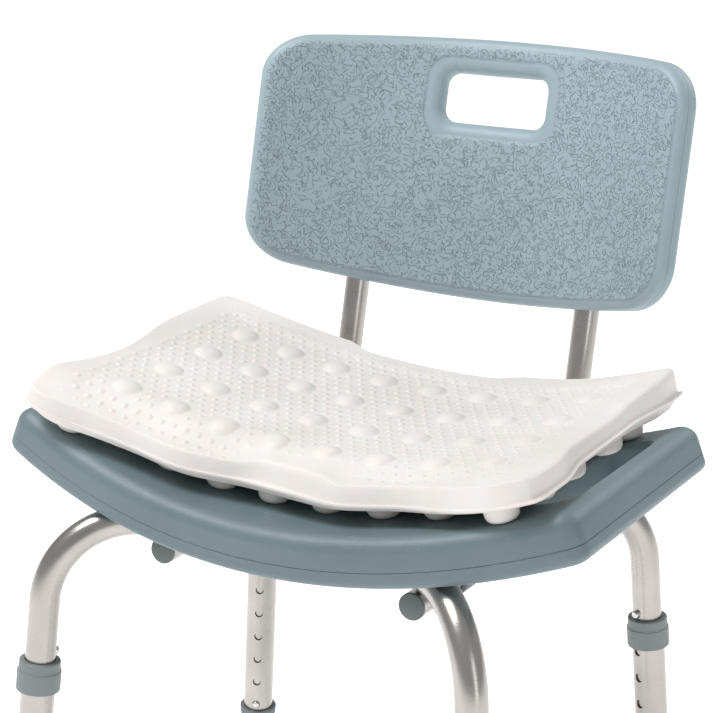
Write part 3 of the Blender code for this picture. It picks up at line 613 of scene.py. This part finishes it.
def makeLegFrame(name, across, lifted):
    slope = math.tan(legSize["splay"])
    run = legSize["reach"] - (legSize["runHeight"] - legSize["reachHeight"]) * slope
    foot = legSize["reach"] + (legSize["reachHeight"] - legSize["end"]) * slope
    turn = 90 - math.degrees(legSize["splay"])
    tangent = legSize["bend"] * math.tan(math.radians(turn / 2))
    upright = math.hypot(foot - run, legSize["runHeight"] - legSize["end"]) - tangent
    heading = Vector((-math.sin(legSize["splay"]), 0, math.cos(legSize["splay"])))
    inwards = Vector((-math.cos(legSize["splay"]), 0, -math.sin(legSize["splay"])))
    length = 2 * (run - tangent)
    middle = 2 * legSize["flatFrom"]
    steps = [("go", upright, 2), ("turn", legSize["bend"], turn, inwards), ("go", (length - middle) / 2, 2),
             ("go", middle, 40), ("go", (length - middle) / 2, 2),
             ("turn", legSize["bend"], turn, Vector((0, 0, -1))), ("go", upright, 2)]
    foot = Vector((foot, 0, legSize["end"]))
    piece = bentTube(name, foot, heading, steps, legSize["radius"], legSize["wall"])

    def pressed(x, y, z):
        if z < legSize["runHeight"] - 0.02:
            return Vector((x, y, z))
        share = min(1, max(0, (legSize["flatFrom"] - abs(x)) / (legSize["flatFrom"] - legSize["flatFull"])))
        share = share * share * (3 - 2 * share)
        squeeze = 1 + share * (legSize["flat"] / legSize["radius"] - 1)
        lift = lifted * share * (legSize["radius"] - legSize["flat"])
        return Vector((x, y, legSize["runHeight"] + (z - legSize["runHeight"]) * squeeze + lift))

    shape(piece, pressed)
    turnAngle = math.atan2(legSize["diagonal"].y, across * legSize["diagonal"].x)
    return place(piece, Matrix.Rotation(turnAngle, 4, "Z"))


def cutSeatChannels(piece):  # grooves under the seat for the leg frames, and the pocket at their crossing
    clearance = legSize["radius"] + seatSize["grooveGap"]
    for across in (1, -1):
        angle = math.atan2(legSize["diagonal"].y, across * legSize["diagonal"].x)
        turn = Matrix.Translation((0, 0, legSize["runHeight"])) @ Matrix.Rotation(angle, 4, "Z")
        cut(piece, rod("groove", clearance, 0.68, turn @ Matrix.Rotation(math.pi / 2, 4, "Y"), 48))
        cut(piece, roundedCutter("groove mouth", 0.68, 2 * clearance - 1e-4, 0.04, 0.0005,
                                 turn @ Matrix.Translation((0, 0, -0.02))))
    pocketTop = legSize["runHeight"] + legSize["radius"] + 0.0008
    cut(piece, rod("pocket", seatSize["pocket"], 0.06, Matrix.Translation((0, 0, pocketTop - 0.03)), 64))


cutSeatChannels(seat)
finish(seat, "chair", ["seat"], seatPlastic(), 42)
aluminium = satinAluminium()
for name, across, lifted in (("leg_frame_upper", 1, 1), ("leg_frame_lower", -1, -1)):
    legFrame = makeLegFrame(name + "_tube", across, lifted)
    finish(legFrame, "chair", [name], aluminium, 50)
print("leg frames modelled")

# Adjustable legs

extensionSize = {"radius": 0.0143, "wall": 0.00124, "low": 0.010, "high": 0.2247, "pitch": 0.0254, "holes": 7,
                 "lock": 0.0447, "hole": 0.0040, "stop": 0.2328, "lockTurn": math.radians(22)}


def legMatrix(x, y):  # Z up the splayed leg from the floor, X out through the lock button
    outward = Vector((x * legSize["diagonal"].x, y * legSize["diagonal"].y, 0))
    slope = math.tan(legSize["splay"])
    axis = (Vector((0, 0, 1)) - outward * slope).normalized()
    floor = outward * (legSize["reach"] + legSize["reachHeight"] * slope)
    turn = extensionSize["lockTurn"]
    facing = Vector((-x * math.sin(turn), -y * math.cos(turn), 0))
    facing = (facing - axis * facing.dot(axis)).normalized()
    return Matrix.Translation(floor) @ Matrix((facing, axis.cross(facing), axis)).transposed().to_4x4()


def makeExtension():
    outer, inner = extensionSize["radius"], extensionSize["radius"] - extensionSize["wall"]
    low, high = extensionSize["low"], extensionSize["high"]
    rows = [(inner, low), (outer - 0.0003, low), (outer, low + 0.0003), (outer, high - 0.0003),
            (outer - 0.0003, high), (inner, high)]
    piece = turned("extension", rows, 96, ring=True)
    for number in range(extensionSize["holes"]):
        height = extensionSize["lock"] + extensionSize["pitch"] * number
        turn = Matrix.Translation((0.011, 0, height)) @ Matrix.Rotation(math.pi / 2, 4, "Y")
        cut(piece, rod("hole", extensionSize["hole"], 0.02, turn, 40))
    return piece


collarSize = {"gap": 0.0003, "low": 0.2010, "skirt": 0.0177, "skirtLow": 0.2017, "skirtHigh": 0.2178,
              "skirtRound": 0.0007, "shoulder": ((0.01755, 0.2192), (0.01735, 0.2212)), "crown": 0.0160,
              "crownRound": 0.0012, "over": 0.0026, "boreGap": 0.0004}
tipSize = {"gap": 0.0003, "sole": ((0.0188, -0.006), (0.0194, -0.004), (0.0195, 0.0015)), "flare": 0.0187,
           "flareHigh": 0.0042, "flareRound": 0.0008, "body": ((0.0179, 0.0105), (0.0174, 0.0120)),
           "neck": ((0.0168, 0.0270), (0.0169, 0.0290), (0.0177, 0.0310)), "lip": 0.0170, "lipHigh": 0.0367,
           "lipRound": 0.0009, "top": 0.0376, "core": 0.002}
buttonSize = {"flange": ((0.0046, 0.0090), (0.0047, 0.0092), (0.0047, 0.0098)), "pin": 0.0036,
              "pinLow": 0.0099, "pinHigh": 0.0141, "dome": 0.0019, "domeHigh": 0.0147, "domeRound": 0.0017,
              "point": (0.0004, 0.0164)}


def makeCollar():
    size = collarSize
    outer = extensionSize["radius"] + size["gap"]
    top = extensionSize["high"] + size["over"]
    bore = legSize["radius"] + size["boreGap"]
    ledge = extensionSize["high"] + size["gap"]
    rows = [(outer, size["low"]), *arcRows(size["skirt"], size["skirtLow"], size["skirtRound"], -90, 0, 4),
            *arcRows(size["skirt"], size["skirtHigh"], size["skirtRound"], 0, 70, 4), *size["shoulder"],
            *arcRows(size["crown"], top - size["crownRound"], size["crownRound"], 0, 90, 4),
            (bore, top), (bore, ledge), (outer, ledge)]
    return turned("collar", rows, 64, ring=True)


def makeTip():
    size = tipSize
    outer = extensionSize["radius"] + size["gap"]
    floorOfBore = extensionSize["low"] - size["gap"]
    rows = [*size["sole"], *arcRows(size["flare"], size["flareHigh"], size["flareRound"], 0, 60, 3),
            *size["body"], *size["neck"], *arcRows(size["lip"], size["lipHigh"], size["lipRound"], 0, 90, 4),
            (outer, size["top"]), (outer, floorOfBore), (size["core"], floorOfBore)]
    return turned("tip", rows, 64)


def makeButton():
    size = buttonSize
    rows = [*size["flange"], (size["pin"], size["pinLow"]), (size["pin"], size["pinHigh"]),
            *arcRows(size["dome"], size["domeHigh"], size["domeRound"], 10, 80, 5), size["point"]]
    return place(turned("button", rows, 32), Matrix.Rotation(math.pi / 2, 4, "Y"))


legParts = {"leg_extension": makeExtension(), "collar": makeCollar(), "foot_tip": makeTip(),
            "button": makeButton()}
steel = brightSteel("bright steel")
collarPlastic = greyPlastic("collar plastic", (122, 131, 130))
rubber = tipRubber()
for leg, (x, y) in legSigns.items():
    stand = legMatrix(x, y)
    extension = twin(legParts["leg_extension"], f"leg_extension_{leg}_tube", stand)
    finish(extension, f"leg_{leg}", [f"leg_extension_{leg}"], aluminium, 40)
    collar = twin(legParts["collar"], f"collar_{leg}_ring", stand)
    finish(collar, f"leg_{leg}", [f"collar_{leg}"], collarPlastic, 45)
    tip = twin(legParts["foot_tip"], f"foot_tip_{leg}_rubber", stand)
    edit(tip)
    bpy.ops.mesh.bisect(plane_co=(0, 0, 0), plane_no=(0, 0, 1), use_fill=True, clear_inner=True)
    deselect()
    finish(tip, f"leg_{leg}", [f"foot_tip_{leg}"], rubber, 45)
    lockPlace = stand @ Matrix.Translation((0, 0, extensionSize["lock"]))
    stopPlace = stand @ Matrix.Translation((0, 0, extensionSize["stop"]))
    button = twin(legParts["button"], f"lock_button_{leg}_dome", lockPlace)
    finish(button, f"button_{leg}", [f"lock_button_{leg}"], steel, 45)
    rivet = twin(legParts["button"], f"stop_rivet_{leg}_dome", stopPlace)
    finish(rivet, "chair", [f"stop_rivet_{leg}"], steel, 45)
for part in legParts.values():
    bpy.data.objects.remove(part)
print("legs modelled")

# Backrest

backSize = {"halfWidth": 0.2069, "top": 0.3518, "crown": 0.0172, "bottom": 0.1499, "sag": 0.0158,
            "bow": 0.077,
            "middle": 0.0132, "halfThickness": 0.0125, "corner": 0.042, "rim": 0.0095, "border": 0.0080,
            "recline": math.radians(12.7), "foot": (0, backPivot[1] + shiftY, backPivot[2]),
            "gripHalf": 0.0515,
            "gripLow": 0.2920, "gripHigh": 0.3370, "gripCorner": 0.012, "gripRound": 0.0112, "socket": 0.0157,
            "socketTop": 0.262, "screwUp": 0.205}
backTubeSize = {"x": 0.1154, "radius": 0.0111, "wall": 0.0012, "height": 0.319, "front": -0.115, "up": 0.250,
                "bend": 0.060}
leanBack = Matrix.Translation(backPivot) @ Matrix.Rotation(-backSize["recline"], 4, "X")


def backPoint(x, u, height):  # height is measured to the front here, so the plate's top is its face
    slope = 2 * backSize["bow"] * x / backSize["halfWidth"] ** 2
    length = math.hypot(1, slope)
    depth = backSize["middle"] - backSize["bow"] * (x / backSize["halfWidth"]) ** 2
    return Vector((x - height * slope / length, depth - height / length, u))


def makeBackrest():
    outline = bowedOutline(backSize["halfWidth"], backSize["bottom"], backSize["sag"], backSize["top"],
                           backSize["crown"], backSize["corner"], 40)
    thick = backSize["halfThickness"]
    piece = flatPlate("backrest_moulding", outline, -thick, thick, backSize["rim"], backSize["rim"])
    gripHeight = backSize["gripHigh"] - backSize["gripLow"]
    gripMiddle = (backSize["gripHigh"] + backSize["gripLow"]) / 2
    cut(piece, roundedCutter("grip cutter", 2 * backSize["gripHalf"], gripHeight, 0.2, backSize["gripCorner"],
                             Matrix.Translation((0, gripMiddle, 0))))
    roundRims(piece, (0, gripMiddle), backSize["gripHalf"], gripHeight / 2, (-thick, thick),
              backSize["gripRound"])
    edit(piece)
    bpy.ops.mesh.bisect(plane_co=(0, 0, 0), plane_no=(0, 0, 1))
    bpy.ops.mesh.bevel(offset=0.0004, segments=2, profile=0.5)
    pick(piece, "VERT", lambda v: abs(v.co.z) < meshDetail["sameHeight"])
    bpy.ops.transform.shrink_fatten(value=-0.0003)
    deselect()
    strip(piece, backSize["halfWidth"], 60)
    shape(piece, backPoint)
    for sign in sideSigns.values():
        boss = turned("socket", [(backSize["socket"] - 0.001, 0.1415), (backSize["socket"], 0.1425),
                                 (backSize["socket"], backSize["socketTop"] - 0.004),
                                 *arcRows(0.0057, backSize["socketTop"] - 0.004, 0.010, 15, 85, 5)], 48)
        cut(piece, place(boss, Matrix.Translation((sign * backTubeSize["x"], 0, 0))), "UNION")
    for sign in sideSigns.values():
        bore = Matrix.Translation((sign * backTubeSize["x"], 0, backTubeSize["up"] / 2 + 0.0002))
        cut(piece, rod("bore", backTubeSize["radius"] + 0.0003, backTubeSize["up"], bore, 48))
    return place(piece, leanBack)


backrest = makeBackrest()
finish(backrest, "backrest", ["back_panel"], backPlastic(backSize), 42)
print("backrest modelled", len(backrest.data.polygons))


def makeBackTube(sign):
    lean = backSize["recline"]
    upwards = Vector((0, math.sin(lean), math.cos(lean)))
    corner = Vector(backPivot) + upwards * (backTubeSize["height"] - backPivot[2]) / upwards.z
    turn = 90 - math.degrees(lean)
    tangent = backTubeSize["bend"] * math.tan(math.radians(turn / 2))
    start = Vector((sign * backTubeSize["x"], backTubeSize["front"], backTubeSize["height"]))
    rise = backTubeSize["up"] + (backPivot[2] - backTubeSize["height"]) / upwards.z - tangent
    steps = [("go", corner.y - tangent - start.y, 3), ("turn", backTubeSize["bend"], turn, Vector((0, 0, 1))),
             ("go", rise, 3)]
    piece = bentTube("back tube", start, Vector((0, 1, 0)), steps, backTubeSize["radius"],
                     backTubeSize["wall"])
    slotTurn = Matrix.Rotation(math.radians(27), 4, "Y")
    slot = Matrix.Translation((start.x, start.y + 0.024, start.z)) @ slotTurn
    slot = slot @ Matrix.Translation((0, 0, -0.015))
    cut(piece, roundedCutter("slot", 0.003, 0.013, 0.02, 0.0014, slot))
    return piece


def makePlug():
    radius, bore = backTubeSize["radius"], backTubeSize["radius"] - backTubeSize["wall"] - 0.0006
    rows = [(0.001, -0.0042), (0.004, -0.0041), (0.0065, -0.0038), (0.0085, -0.0031),
            *arcRows(radius - 0.0012, -0.0016, 0.0012, -60, 0, 4), (radius, -0.0003), (bore, -0.0003),
            (bore, 0.014), (bore - 0.001, 0.016)]
    return place(turned("plug", rows, 48), Matrix.Rotation(-math.pi / 2, 4, "X"))


plug = makePlug()
plugPlastic = greyPlastic("plug plastic", (96, 107, 104))
for side, sign in sideSigns.items():
    backTube = makeBackTube(sign)
    backTube.name = f"back_tube_{side}_bent"
    finish(backTube, "backrest", [f"back_tube_{side}"], aluminium, 50)
    spot = Matrix.Translation((sign * backTubeSize["x"], backTubeSize["front"], backTubeSize["height"]))
    cap = twin(plug, f"back_plug_{side}_cap", spot)
    finish(cap, "backrest", [f"back_plug_{side}"], plugPlastic, 45)
bpy.data.objects.remove(plug)
print("back tubes modelled")

# Screws, guides and springs

screwSize = {"frameAt": 0.085, "guideY": 0.038, "guideScrewX": 0.0205}


def makeScrew(name, shank, head, length):  # the head's underside is at its own zero and the shank runs up
    rows = [(head * 0.35, -0.0026), (head * 0.72, -0.0024), (head * 0.92, -0.0017), (head, -0.0008),
            (head * 0.98, 0), (shank, 0.0001), (shank, length - 0.002), (shank * 0.3, length)]
    piece = turned(name, rows, 32)
    for turn in (0, math.pi / 2):
        spot = Matrix.Rotation(turn, 4, "Z") @ Matrix.Translation((0, 0, -0.0026))
        cut(piece, roundedCutter("recess", head * 1.1, head * 0.24, 0.0028, head * 0.08, spot))
    return piece


def lowestUnder(x):  # height of the seat's underside at x
    guess = x
    for _ in range(8):
        guess += x - seatPoint(guess, 0, -seatSize["below"]).x
    return seatPoint(guess, 0, -seatSize["below"]).z


frameScrew = makeScrew("frame screw", 0.0020, 0.0048, 0.034)
guideScrew = makeScrew("guide screw", 0.0020, 0.0042, 0.0155)
backScrew = makeScrew("back screw", 0.0020, 0.0045, 0.0095)
underRun = legSize["runHeight"] - legSize["radius"] - 0.0003
for leg, (x, y) in legSigns.items():
    away = Vector((x * legSize["diagonal"].x, y * legSize["diagonal"].y, 0)) * screwSize["frameAt"]
    screw = twin(frameScrew, f"frame_screw_{leg}_head", Matrix.Translation((away.x, away.y, underRun)))
    finish(screw, "chair", [f"frame_screw_{leg}"], steel, 35)
bolt = makeScrew("middle_bolt_head", 0.0029, 0.0075, 0.038)
finish(place(bolt, Matrix.Translation((0, 0, underRun))), "chair", ["middle_bolt"], steel, 35)
guidePlastic = greyPlastic("guide plastic", (92, 102, 101))
for end, y in (("front", -screwSize["guideY"]), ("rear", screwSize["guideY"])):
    for side, sign in sideSigns.items():
        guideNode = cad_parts[f"guide_{end}_{side}"]
        guideNode.data.materials.clear()
        guideNode.data.materials.append(guidePlastic)
        for mark, offset in (("a", -screwSize["guideScrewX"]), ("b", screwSize["guideScrewX"])):
            spotX = sign * backTubeSize["x"] + offset
            spot = Matrix.Translation((spotX, y, lowestUnder(spotX) - 0.006))
            screw = twin(guideScrew, f"guide_screw_{end}_{side}_{mark}_head", spot)
            finish(screw, "chair", [f"guide_screw_{end}_{side}_{mark}"], steel, 35)
for side, sign in sideSigns.items():
    spot = Matrix.Translation((sign * backTubeSize["x"], backSize["socket"] + 0.0003, backSize["screwUp"]))
    screw = twin(backScrew, f"back_screw_{side}_head", leanBack @ spot @ Matrix.Rotation(math.pi / 2, 4, "X"))
    finish(screw, "backrest", [f"back_screw_{side}"], steel, 35)
for spare in (frameScrew, guideScrew, backScrew):
    bpy.data.objects.remove(spare)
springSteel = brightSteel("spring steel")
for leg in legSigns:
    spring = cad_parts[f"lock_spring_{leg}"]
    spring.data.materials.clear()
    spring.data.materials.append(springSteel)
print("fastenings modelled")

# Pad

padSize = {"halfX": 0.222, "halfY": 0.150, "cellsX": 500, "cellsY": 342, "edge": 0.10, "bumpX": 0.0476,
           "bumpY": 0.0606, "bumpRadius": 0.0122, "bumpHeight": 0.0040, "dotX": 0.0119, "dotY": 0.0202,
           "dotRadius": 0.0024, "dotHeight": 0.0015, "flange": 0.0203, "lip": 0.0018, "body": 0.0125,
           "footRadius": 0.0138, "footShow": 0.0135, "bumpLong": 1.08, "clear": 0.0135, "tuck": 0.055,
           "merge": 0.00005, "tilt": 4.5}


def seatTop(x):  # height of the seat's top surface, for arrays of x
    guess = np.array(x, float)
    slope = 2 * seatSize["rise"] / seatSize["halfWidth"] ** 2
    for _ in range(8):
        lean = slope * guess
        guess = guess + (x - (guess - seatSize["above"] * lean / np.hypot(1, lean)))
    lean = slope * guess
    return seatSize["height"] + seatSize["rise"] * (guess / seatSize["halfWidth"]) ** 2 \
        + seatSize["above"] / np.hypot(1, lean)


def eased(value, low, high):
    share = np.clip((value - low) / (high - low), 0, 1)
    return share * share * (3 - 2 * share)


def window(value, middle, flat, ramp):  # 1 over a stretch and 0 away from it
    return 1 - eased(np.abs(value - middle), flat, flat + ramp)


padFront = {"x": (-0.233, -0.214, -0.177, -0.135, -0.090, -0.035, 0.013, 0.055, 0.112, 0.166, 0.205, 0.226),
            "y": (-0.151, -0.154, -0.139, -0.133, -0.137, -0.124, -0.129, -0.139, -0.131, -0.145, -0.150,
                  -0.146), "blend": 0.005, "reach": 3}
padArch = (0.006, 0.022, 0.036)  # middle, flat half and ramp of the low arch in the front rim
padRim = {"right": 0.231, "left": 0.234, "rear": 0.158, "rearDip": 0.011, "rearDipAt": (-0.006, 0.060, 0.030),
          "leftWaist": 0.014, "leftWaistAt": (-0.042, 0.006, 0.105), "rightWaist": 0.010,
          "rightWaistAt": (0.010, 0.050, 0.060), "cornerX": 0.020, "cornerY": 0.030, "crestRight": 0.0125,
          "crestLeft": 0.0065, "crestArch": 0.011, "crestFront": 0.0035}


def frontLine(x):  # the front rim's y at x, evened out over a few steps to each side
    steps = range(-padFront["reach"], padFront["reach"] + 1)
    places = (np.interp(x + step * padFront["blend"], padFront["x"], padFront["y"]) for step in steps)
    return sum(places) / len(steps)


def padEdge(ex, ey, crest):
    # a point of the pad's rim for a direction on the unit square; crest is its top line, else its flange
    x = ex * np.where(ex > 0, padRim["right"], padRim["left"])
    back = padRim["rear"] - padRim["rearDip"] * window(x, *padRim["rearDipAt"])
    y = np.where(ey < 0, -ey * frontLine(x), ey * back)
    leftWaist = padRim["leftWaist"] * window(y, *padRim["leftWaistAt"])
    rightWaist = padRim["rightWaist"] * window(y, *padRim["rightWaistAt"])
    x = x - ex * np.abs(ex) ** 8 * np.where(ex < 0, leftWaist, rightWaist)
    corner = np.abs(ex * ey) ** 14
    x = x * (1 - padRim["cornerX"] * corner)
    y = y * (1 - padRim["cornerY"] * corner)
    if crest:
        x = x - ex * np.abs(ex) ** 6 * np.where(ex > 0, padRim["crestRight"], padRim["crestLeft"])
        arch = padRim["crestArch"] * window(x, *padArch) * (ey < 0)
        y = y - ey * np.abs(ey) ** 6 * (padRim["crestFront"] + arch)
    return x, y


def padField(x, y):  # height of the dotted field over the seat's top, worked out in millimetres
    u, v = x / 0.2, y / 0.1
    height = 46.6 - 6.9 * u + 2.4 * v - 5.0 * u * u + 1.3 * v * v
    height = height + 3.6 * u ** 3 - 1.1 * u * u * v - 0.5 * u * v * v
    return (height + 5 * eased(x, 0.12, 0.22) * eased(y, 0.02, 0.15)) / 1000


def nearestBump(x, y):  # the middle of the large bump nearest to a point: eight columns and four rows
    column = np.clip(np.round(x / padSize["bumpX"] - 0.5), -4, 3) + 0.5
    row = np.clip(np.round(y / padSize["bumpY"] - 0.5), -2, 1) + 0.5
    return column * padSize["bumpX"], row * padSize["bumpY"]


def padBumps(x, y, reach):
    relief = np.zeros_like(x)
    bumpAtX, bumpAtY = nearestBump(x, y)
    away = np.hypot(x - bumpAtX, (y - bumpAtY) / padSize["bumpLong"])
    share = np.clip(1 - (away / padSize["bumpRadius"]) ** 3, 0, 1)
    relief += padSize["bumpHeight"] * share ** 1.15
    for shiftX, shiftY in ((0, 0), (0.5, 0.5)):
        columns = (x - padSize["bumpX"] / 2) / padSize["dotX"] - shiftX
        rows = (y - padSize["bumpY"] / 2) / padSize["dotY"] - shiftY
        offX = (columns - np.round(columns)) * padSize["dotX"]
        offY = (rows - np.round(rows)) * padSize["dotY"]
        dot = np.clip(1 - (np.hypot(offX, offY) / padSize["dotRadius"]) ** 2, 0, 1) ** 0.7
        dotX = (np.round(columns) + shiftX) * padSize["dotX"] + padSize["bumpX"] / 2
        dotY = (np.round(rows) + shiftY) * padSize["dotY"] + padSize["bumpY"] / 2
        bumpAtX, bumpAtY = nearestBump(dotX, dotY)
        free = np.hypot(dotX - bumpAtX, dotY - bumpAtY) > padSize["clear"]
        relief += padSize["dotHeight"] * dot * free * reach
    return relief


def gridPoints(name, cellsX, cellsY):
    bpy.ops.mesh.primitive_grid_add(x_subdivisions=cellsX, y_subdivisions=cellsY, size=2)
    piece = named(name)
    points = np.empty(len(piece.data.vertices) * 3)
    piece.data.vertices.foreach_get("co", points)
    return piece, points.reshape(-1, 3)


def flangeHeight(x, y):
    tilt = padSize["tilt"] * (x / padSize["halfX"]) * (y / padSize["halfY"]) * (x > 0)
    return padSize["flange"] + tilt / 1000


def makePadTop():
    piece, points = gridPoints("bath_pad", padSize["cellsX"], padSize["cellsY"])
    a, b = points[:, 0], points[:, 1]
    ring = np.maximum(np.abs(a), np.abs(b))
    safe = np.maximum(ring, 1e-9)
    ex, ey = a / safe, b / safe
    crestX, crestY = padEdge(ex, ey, True)
    flangeX, flangeY = padEdge(ex, ey, False)
    inner = np.minimum(ring / (1 - padSize["edge"]), 1)
    x, y = crestX * inner, crestY * inner
    over = np.clip((ring - (1 - padSize["edge"])) / padSize["edge"], 0, 1)
    knots = [0, 0.12, 0.24, 0.36, 0.48, 0.72, 0.80, 0.94, 1.0]
    outwards = np.interp(over, knots, [0, 0.16, 0.30, 0.41, 0.49, 0.66, 0.74, 1.0, 1.0])
    down = np.interp(over, knots, [0, 0.035, 0.12, 0.27, 0.46, 0.92, 0.985, 1.0, 1.0])
    field = padField(x, y)
    frontDepth = y - frontLine(x)
    sideDepth = np.where(x > 0, 0.2185 - x, 9)
    frontGoal = 0.0325 + 0.0045 * window(x, *padArch)
    field = field - (field - frontGoal) * (1 - eased(frontDepth, 0.004, 0.044))
    sideGoal = 0.033 + 0.014 * eased(y, 0.02, 0.14)
    field = field - (field - sideGoal) * (1 - eased(sideDepth, 0, 0.036))
    reachX = padSize["halfX"] - np.abs(x)
    reachY = padSize["halfY"] - np.abs(y)
    smoothFront = eased(y, -0.133, -0.128)
    smoothRight = 1 - eased(x, 0.186, 0.192)
    smoothBack = 1 - eased(y, 0.128, 0.134)
    arch = 1 - window(x, 0.008, 0.040, 0.040) * (1 - eased(y, -0.104, -0.098))
    dotted = smoothFront * smoothRight * smoothBack * arch * eased(reachX, 0.016, 0.022)
    band = 0.0014 * (1 - eased(reachY, 0.022, 0.032) * eased(reachX, 0.018, 0.028))
    relief = padBumps(x, y, dotted) * (over < 0.02)
    z = seatTop(x) + field + relief + band
    outX = x + (flangeX - crestX) * outwards
    outY = y + (flangeY - crestY) * outwards
    seatUnder = seatTop(outX)
    edgeTop = z - seatTop(x)
    flange = flangeHeight(outX, outY)
    lipDrop = padSize["lip"] * (over > 0.97)
    z = seatUnder + edgeTop + (flange - edgeTop) * down - lipDrop
    piece.data.vertices.foreach_set("co", np.stack([outX, outY, z], axis=1).ravel())
    piece.data.update()
    return piece


def makePadUnderside():
    piece, points = gridPoints("pad underside", padSize["cellsX"], padSize["cellsY"])
    a, b = points[:, 0], points[:, 1]
    ring = np.maximum(np.abs(a), np.abs(b))
    safe = np.maximum(ring, 1e-9)
    flangeX, flangeY = padEdge(a / safe, b / safe, False)
    x, y = flangeX * ring, flangeY * ring
    tuck = np.clip((1 - ring) / padSize["tuck"], 0, 1)
    height = np.interp(tuck, [0, 0.3, 0.6, 1.0], [0, 0.05, 0.85, 1.0])
    lipBottom = flangeHeight(x, y) - padSize["lip"]
    z = seatTop(x) + lipBottom + (padSize["body"] - lipBottom) * height
    piece.data.vertices.foreach_set("co", np.stack([x, y, z], axis=1).ravel())
    piece.data.update()
    edit(piece)
    bpy.ops.mesh.flip_normals()
    deselect()
    return piece


def makeFoot():
    radius = padSize["footRadius"]
    rows = [(0.0030, 0.0004), (0.0060, 0.0004), *arcRows(radius - 0.0072, 0.0072, 0.0068, -82, -18, 7),
            (radius - 0.0002, 0.0080), (radius, padSize["footShow"]),
            (radius - 0.001, padSize["footShow"] + 0.004)]
    return turned("pad foot", rows, 40)


footRows = {"start": -0.0165, "step": 0.0497, "y": (-0.102, -0.051, 0, 0.051, 0.104),
            "sideX": (-0.200, 0.200), "sideY": (-0.072, -0.015, 0.060, 0.105),
            "corners": ((-0.205, -0.119), (0.195, -0.126))}


def footPlaces():
    places = [Vector(corner) for corner in footRows["corners"]]
    for column in range(-3, 4):
        x = footRows["start"] + footRows["step"] * column
        places += [Vector((x, y)) for y in footRows["y"]]
    for x in footRows["sideX"]:
        places += [Vector((x, y)) for y in footRows["sideY"]]
    return places


def makePad():
    piece = makePadTop()
    underside = makePadUnderside()
    choose(piece)
    underside.select_set(True)
    bpy.ops.object.join()
    edit(piece)
    bpy.ops.mesh.select_all(action="DESELECT")
    bpy.ops.mesh.select_mode(type="EDGE")
    bpy.ops.mesh.select_non_manifold()
    bpy.ops.mesh.remove_doubles(threshold=padSize["merge"])
    deselect()
    foot = makeFoot()
    feet = []
    for spot in footPlaces():
        slope = 2 * seatSize["rise"] * spot.x / seatSize["halfWidth"] ** 2
        lean = Matrix.Rotation(-math.atan(slope), 4, "Y")
        rise = float(seatTop(np.array([spot.x]))[0])
        feet.append(twin(foot, "foot", Matrix.Translation((spot.x, spot.y, rise)) @ lean))
    bpy.data.objects.remove(foot)
    choose(piece)
    for item in feet:
        item.select_set(True)
    bpy.ops.object.join()
    return piece


pad = makePad()
place(pad, chairShift)
choose(pad)
bpy.ops.object.shade_smooth_by_angle(angle=math.radians(55))
pad.data.materials.clear()
pad.data.materials.append(padFoam())
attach(pad, "loose_pad")
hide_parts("pad")
print("pad modelled", len(pad.data.polygons))

# Floor, light and camera

roomLook = {"floor": srgb(240, 240, 241), "glow": 0.68, "world": 0.46, "sky": (0.97, 0.98, 1, 1)}
lampLook = {"key": {"spot": (-0.9, -0.7, 2.5), "aim": (0, 0, 0.45), "size": (1.2, 1.2), "power": 46},
            "fill": {"spot": (2.3, -1.2, 1.0), "aim": (0, 0, 0.4), "size": (0.7, 1.8), "power": 7},
            "rear": {"spot": (0.9, 1.9, 1.9), "aim": (0, 0, 0.5), "size": (1.8, 1.0), "power": 14}}
bpy.ops.mesh.primitive_plane_add(size=40)
floor = named("studio_floor")
floorPaint = Paint("floor", Roughness=0.9, Emission_Strength=roomLook["glow"])
floorPaint.shader.inputs["Emission Color"].default_value = (1, 1, 1, 1)
floorTone = floorPaint.noise(floorPaint.coordinates(), 1.5, 2)
floorPaint.feed("Base Color", floorPaint.mix(floorTone, roomLook["floor"], shaded(roomLook["floor"], 0.985)))
floor.data.materials.append(floorPaint.material)

world = bpy.data.worlds.new("studio")
bpy.context.scene.world = world
world.use_nodes = True
world.node_tree.nodes["Background"].inputs["Color"].default_value = roomLook["sky"]
world.node_tree.nodes["Background"].inputs["Strength"].default_value = roomLook["world"]


def softbox(name, spot, aim, size, power):
    lamp = bpy.data.lights.new(name, "AREA")
    lamp.shape = "RECTANGLE"
    lamp.size, lamp.size_y = size
    lamp.energy = power
    lampObject = bpy.data.objects.new(name, lamp)
    bpy.context.scene.collection.objects.link(lampObject)
    lampObject.location = spot
    lampObject.rotation_euler = (Vector(aim) - Vector(spot)).to_track_quat("-Z", "Y").to_euler()


for name, settings in lampLook.items():
    softbox(name, **settings)

viewSize = {"azimuth": 29.11, "elevation": 15.27, "roll": 0.87, "distance": 1.65012, "focal": 2006.69,
            "target": (-0.00104, -0.0354, 0.4740), "frame": 713, "sensor": 36}
azimuth, elevation, roll = (math.radians(viewSize[k]) for k in ("azimuth", "elevation", "roll"))
backward = Vector((math.sin(azimuth) * math.cos(elevation), -math.cos(azimuth) * math.cos(elevation),
                   math.sin(elevation)))
sideways = Vector((math.cos(azimuth), math.sin(azimuth), 0))
upward = backward.cross(sideways)
rolledSide = sideways * math.cos(roll) + upward * math.sin(roll)
rolledUp = upward * math.cos(roll) - sideways * math.sin(roll)
camera = bpy.data.objects.new("camera", bpy.data.cameras.new("camera"))
bpy.context.scene.collection.objects.link(camera)
turnMatrix = Matrix((rolledSide, rolledUp, backward)).transposed().to_4x4()
cameraSpot = Vector(viewSize["target"]) + backward * viewSize["distance"]
camera.matrix_world = Matrix.Translation(cameraSpot) @ turnMatrix
camera.data.sensor_width = viewSize["sensor"]
camera.data.lens = viewSize["focal"] / viewSize["frame"] * viewSize["sensor"]
bpy.context.scene.camera = camera
bpy.context.scene.view_settings.view_transform = "Standard"
print("stage set")
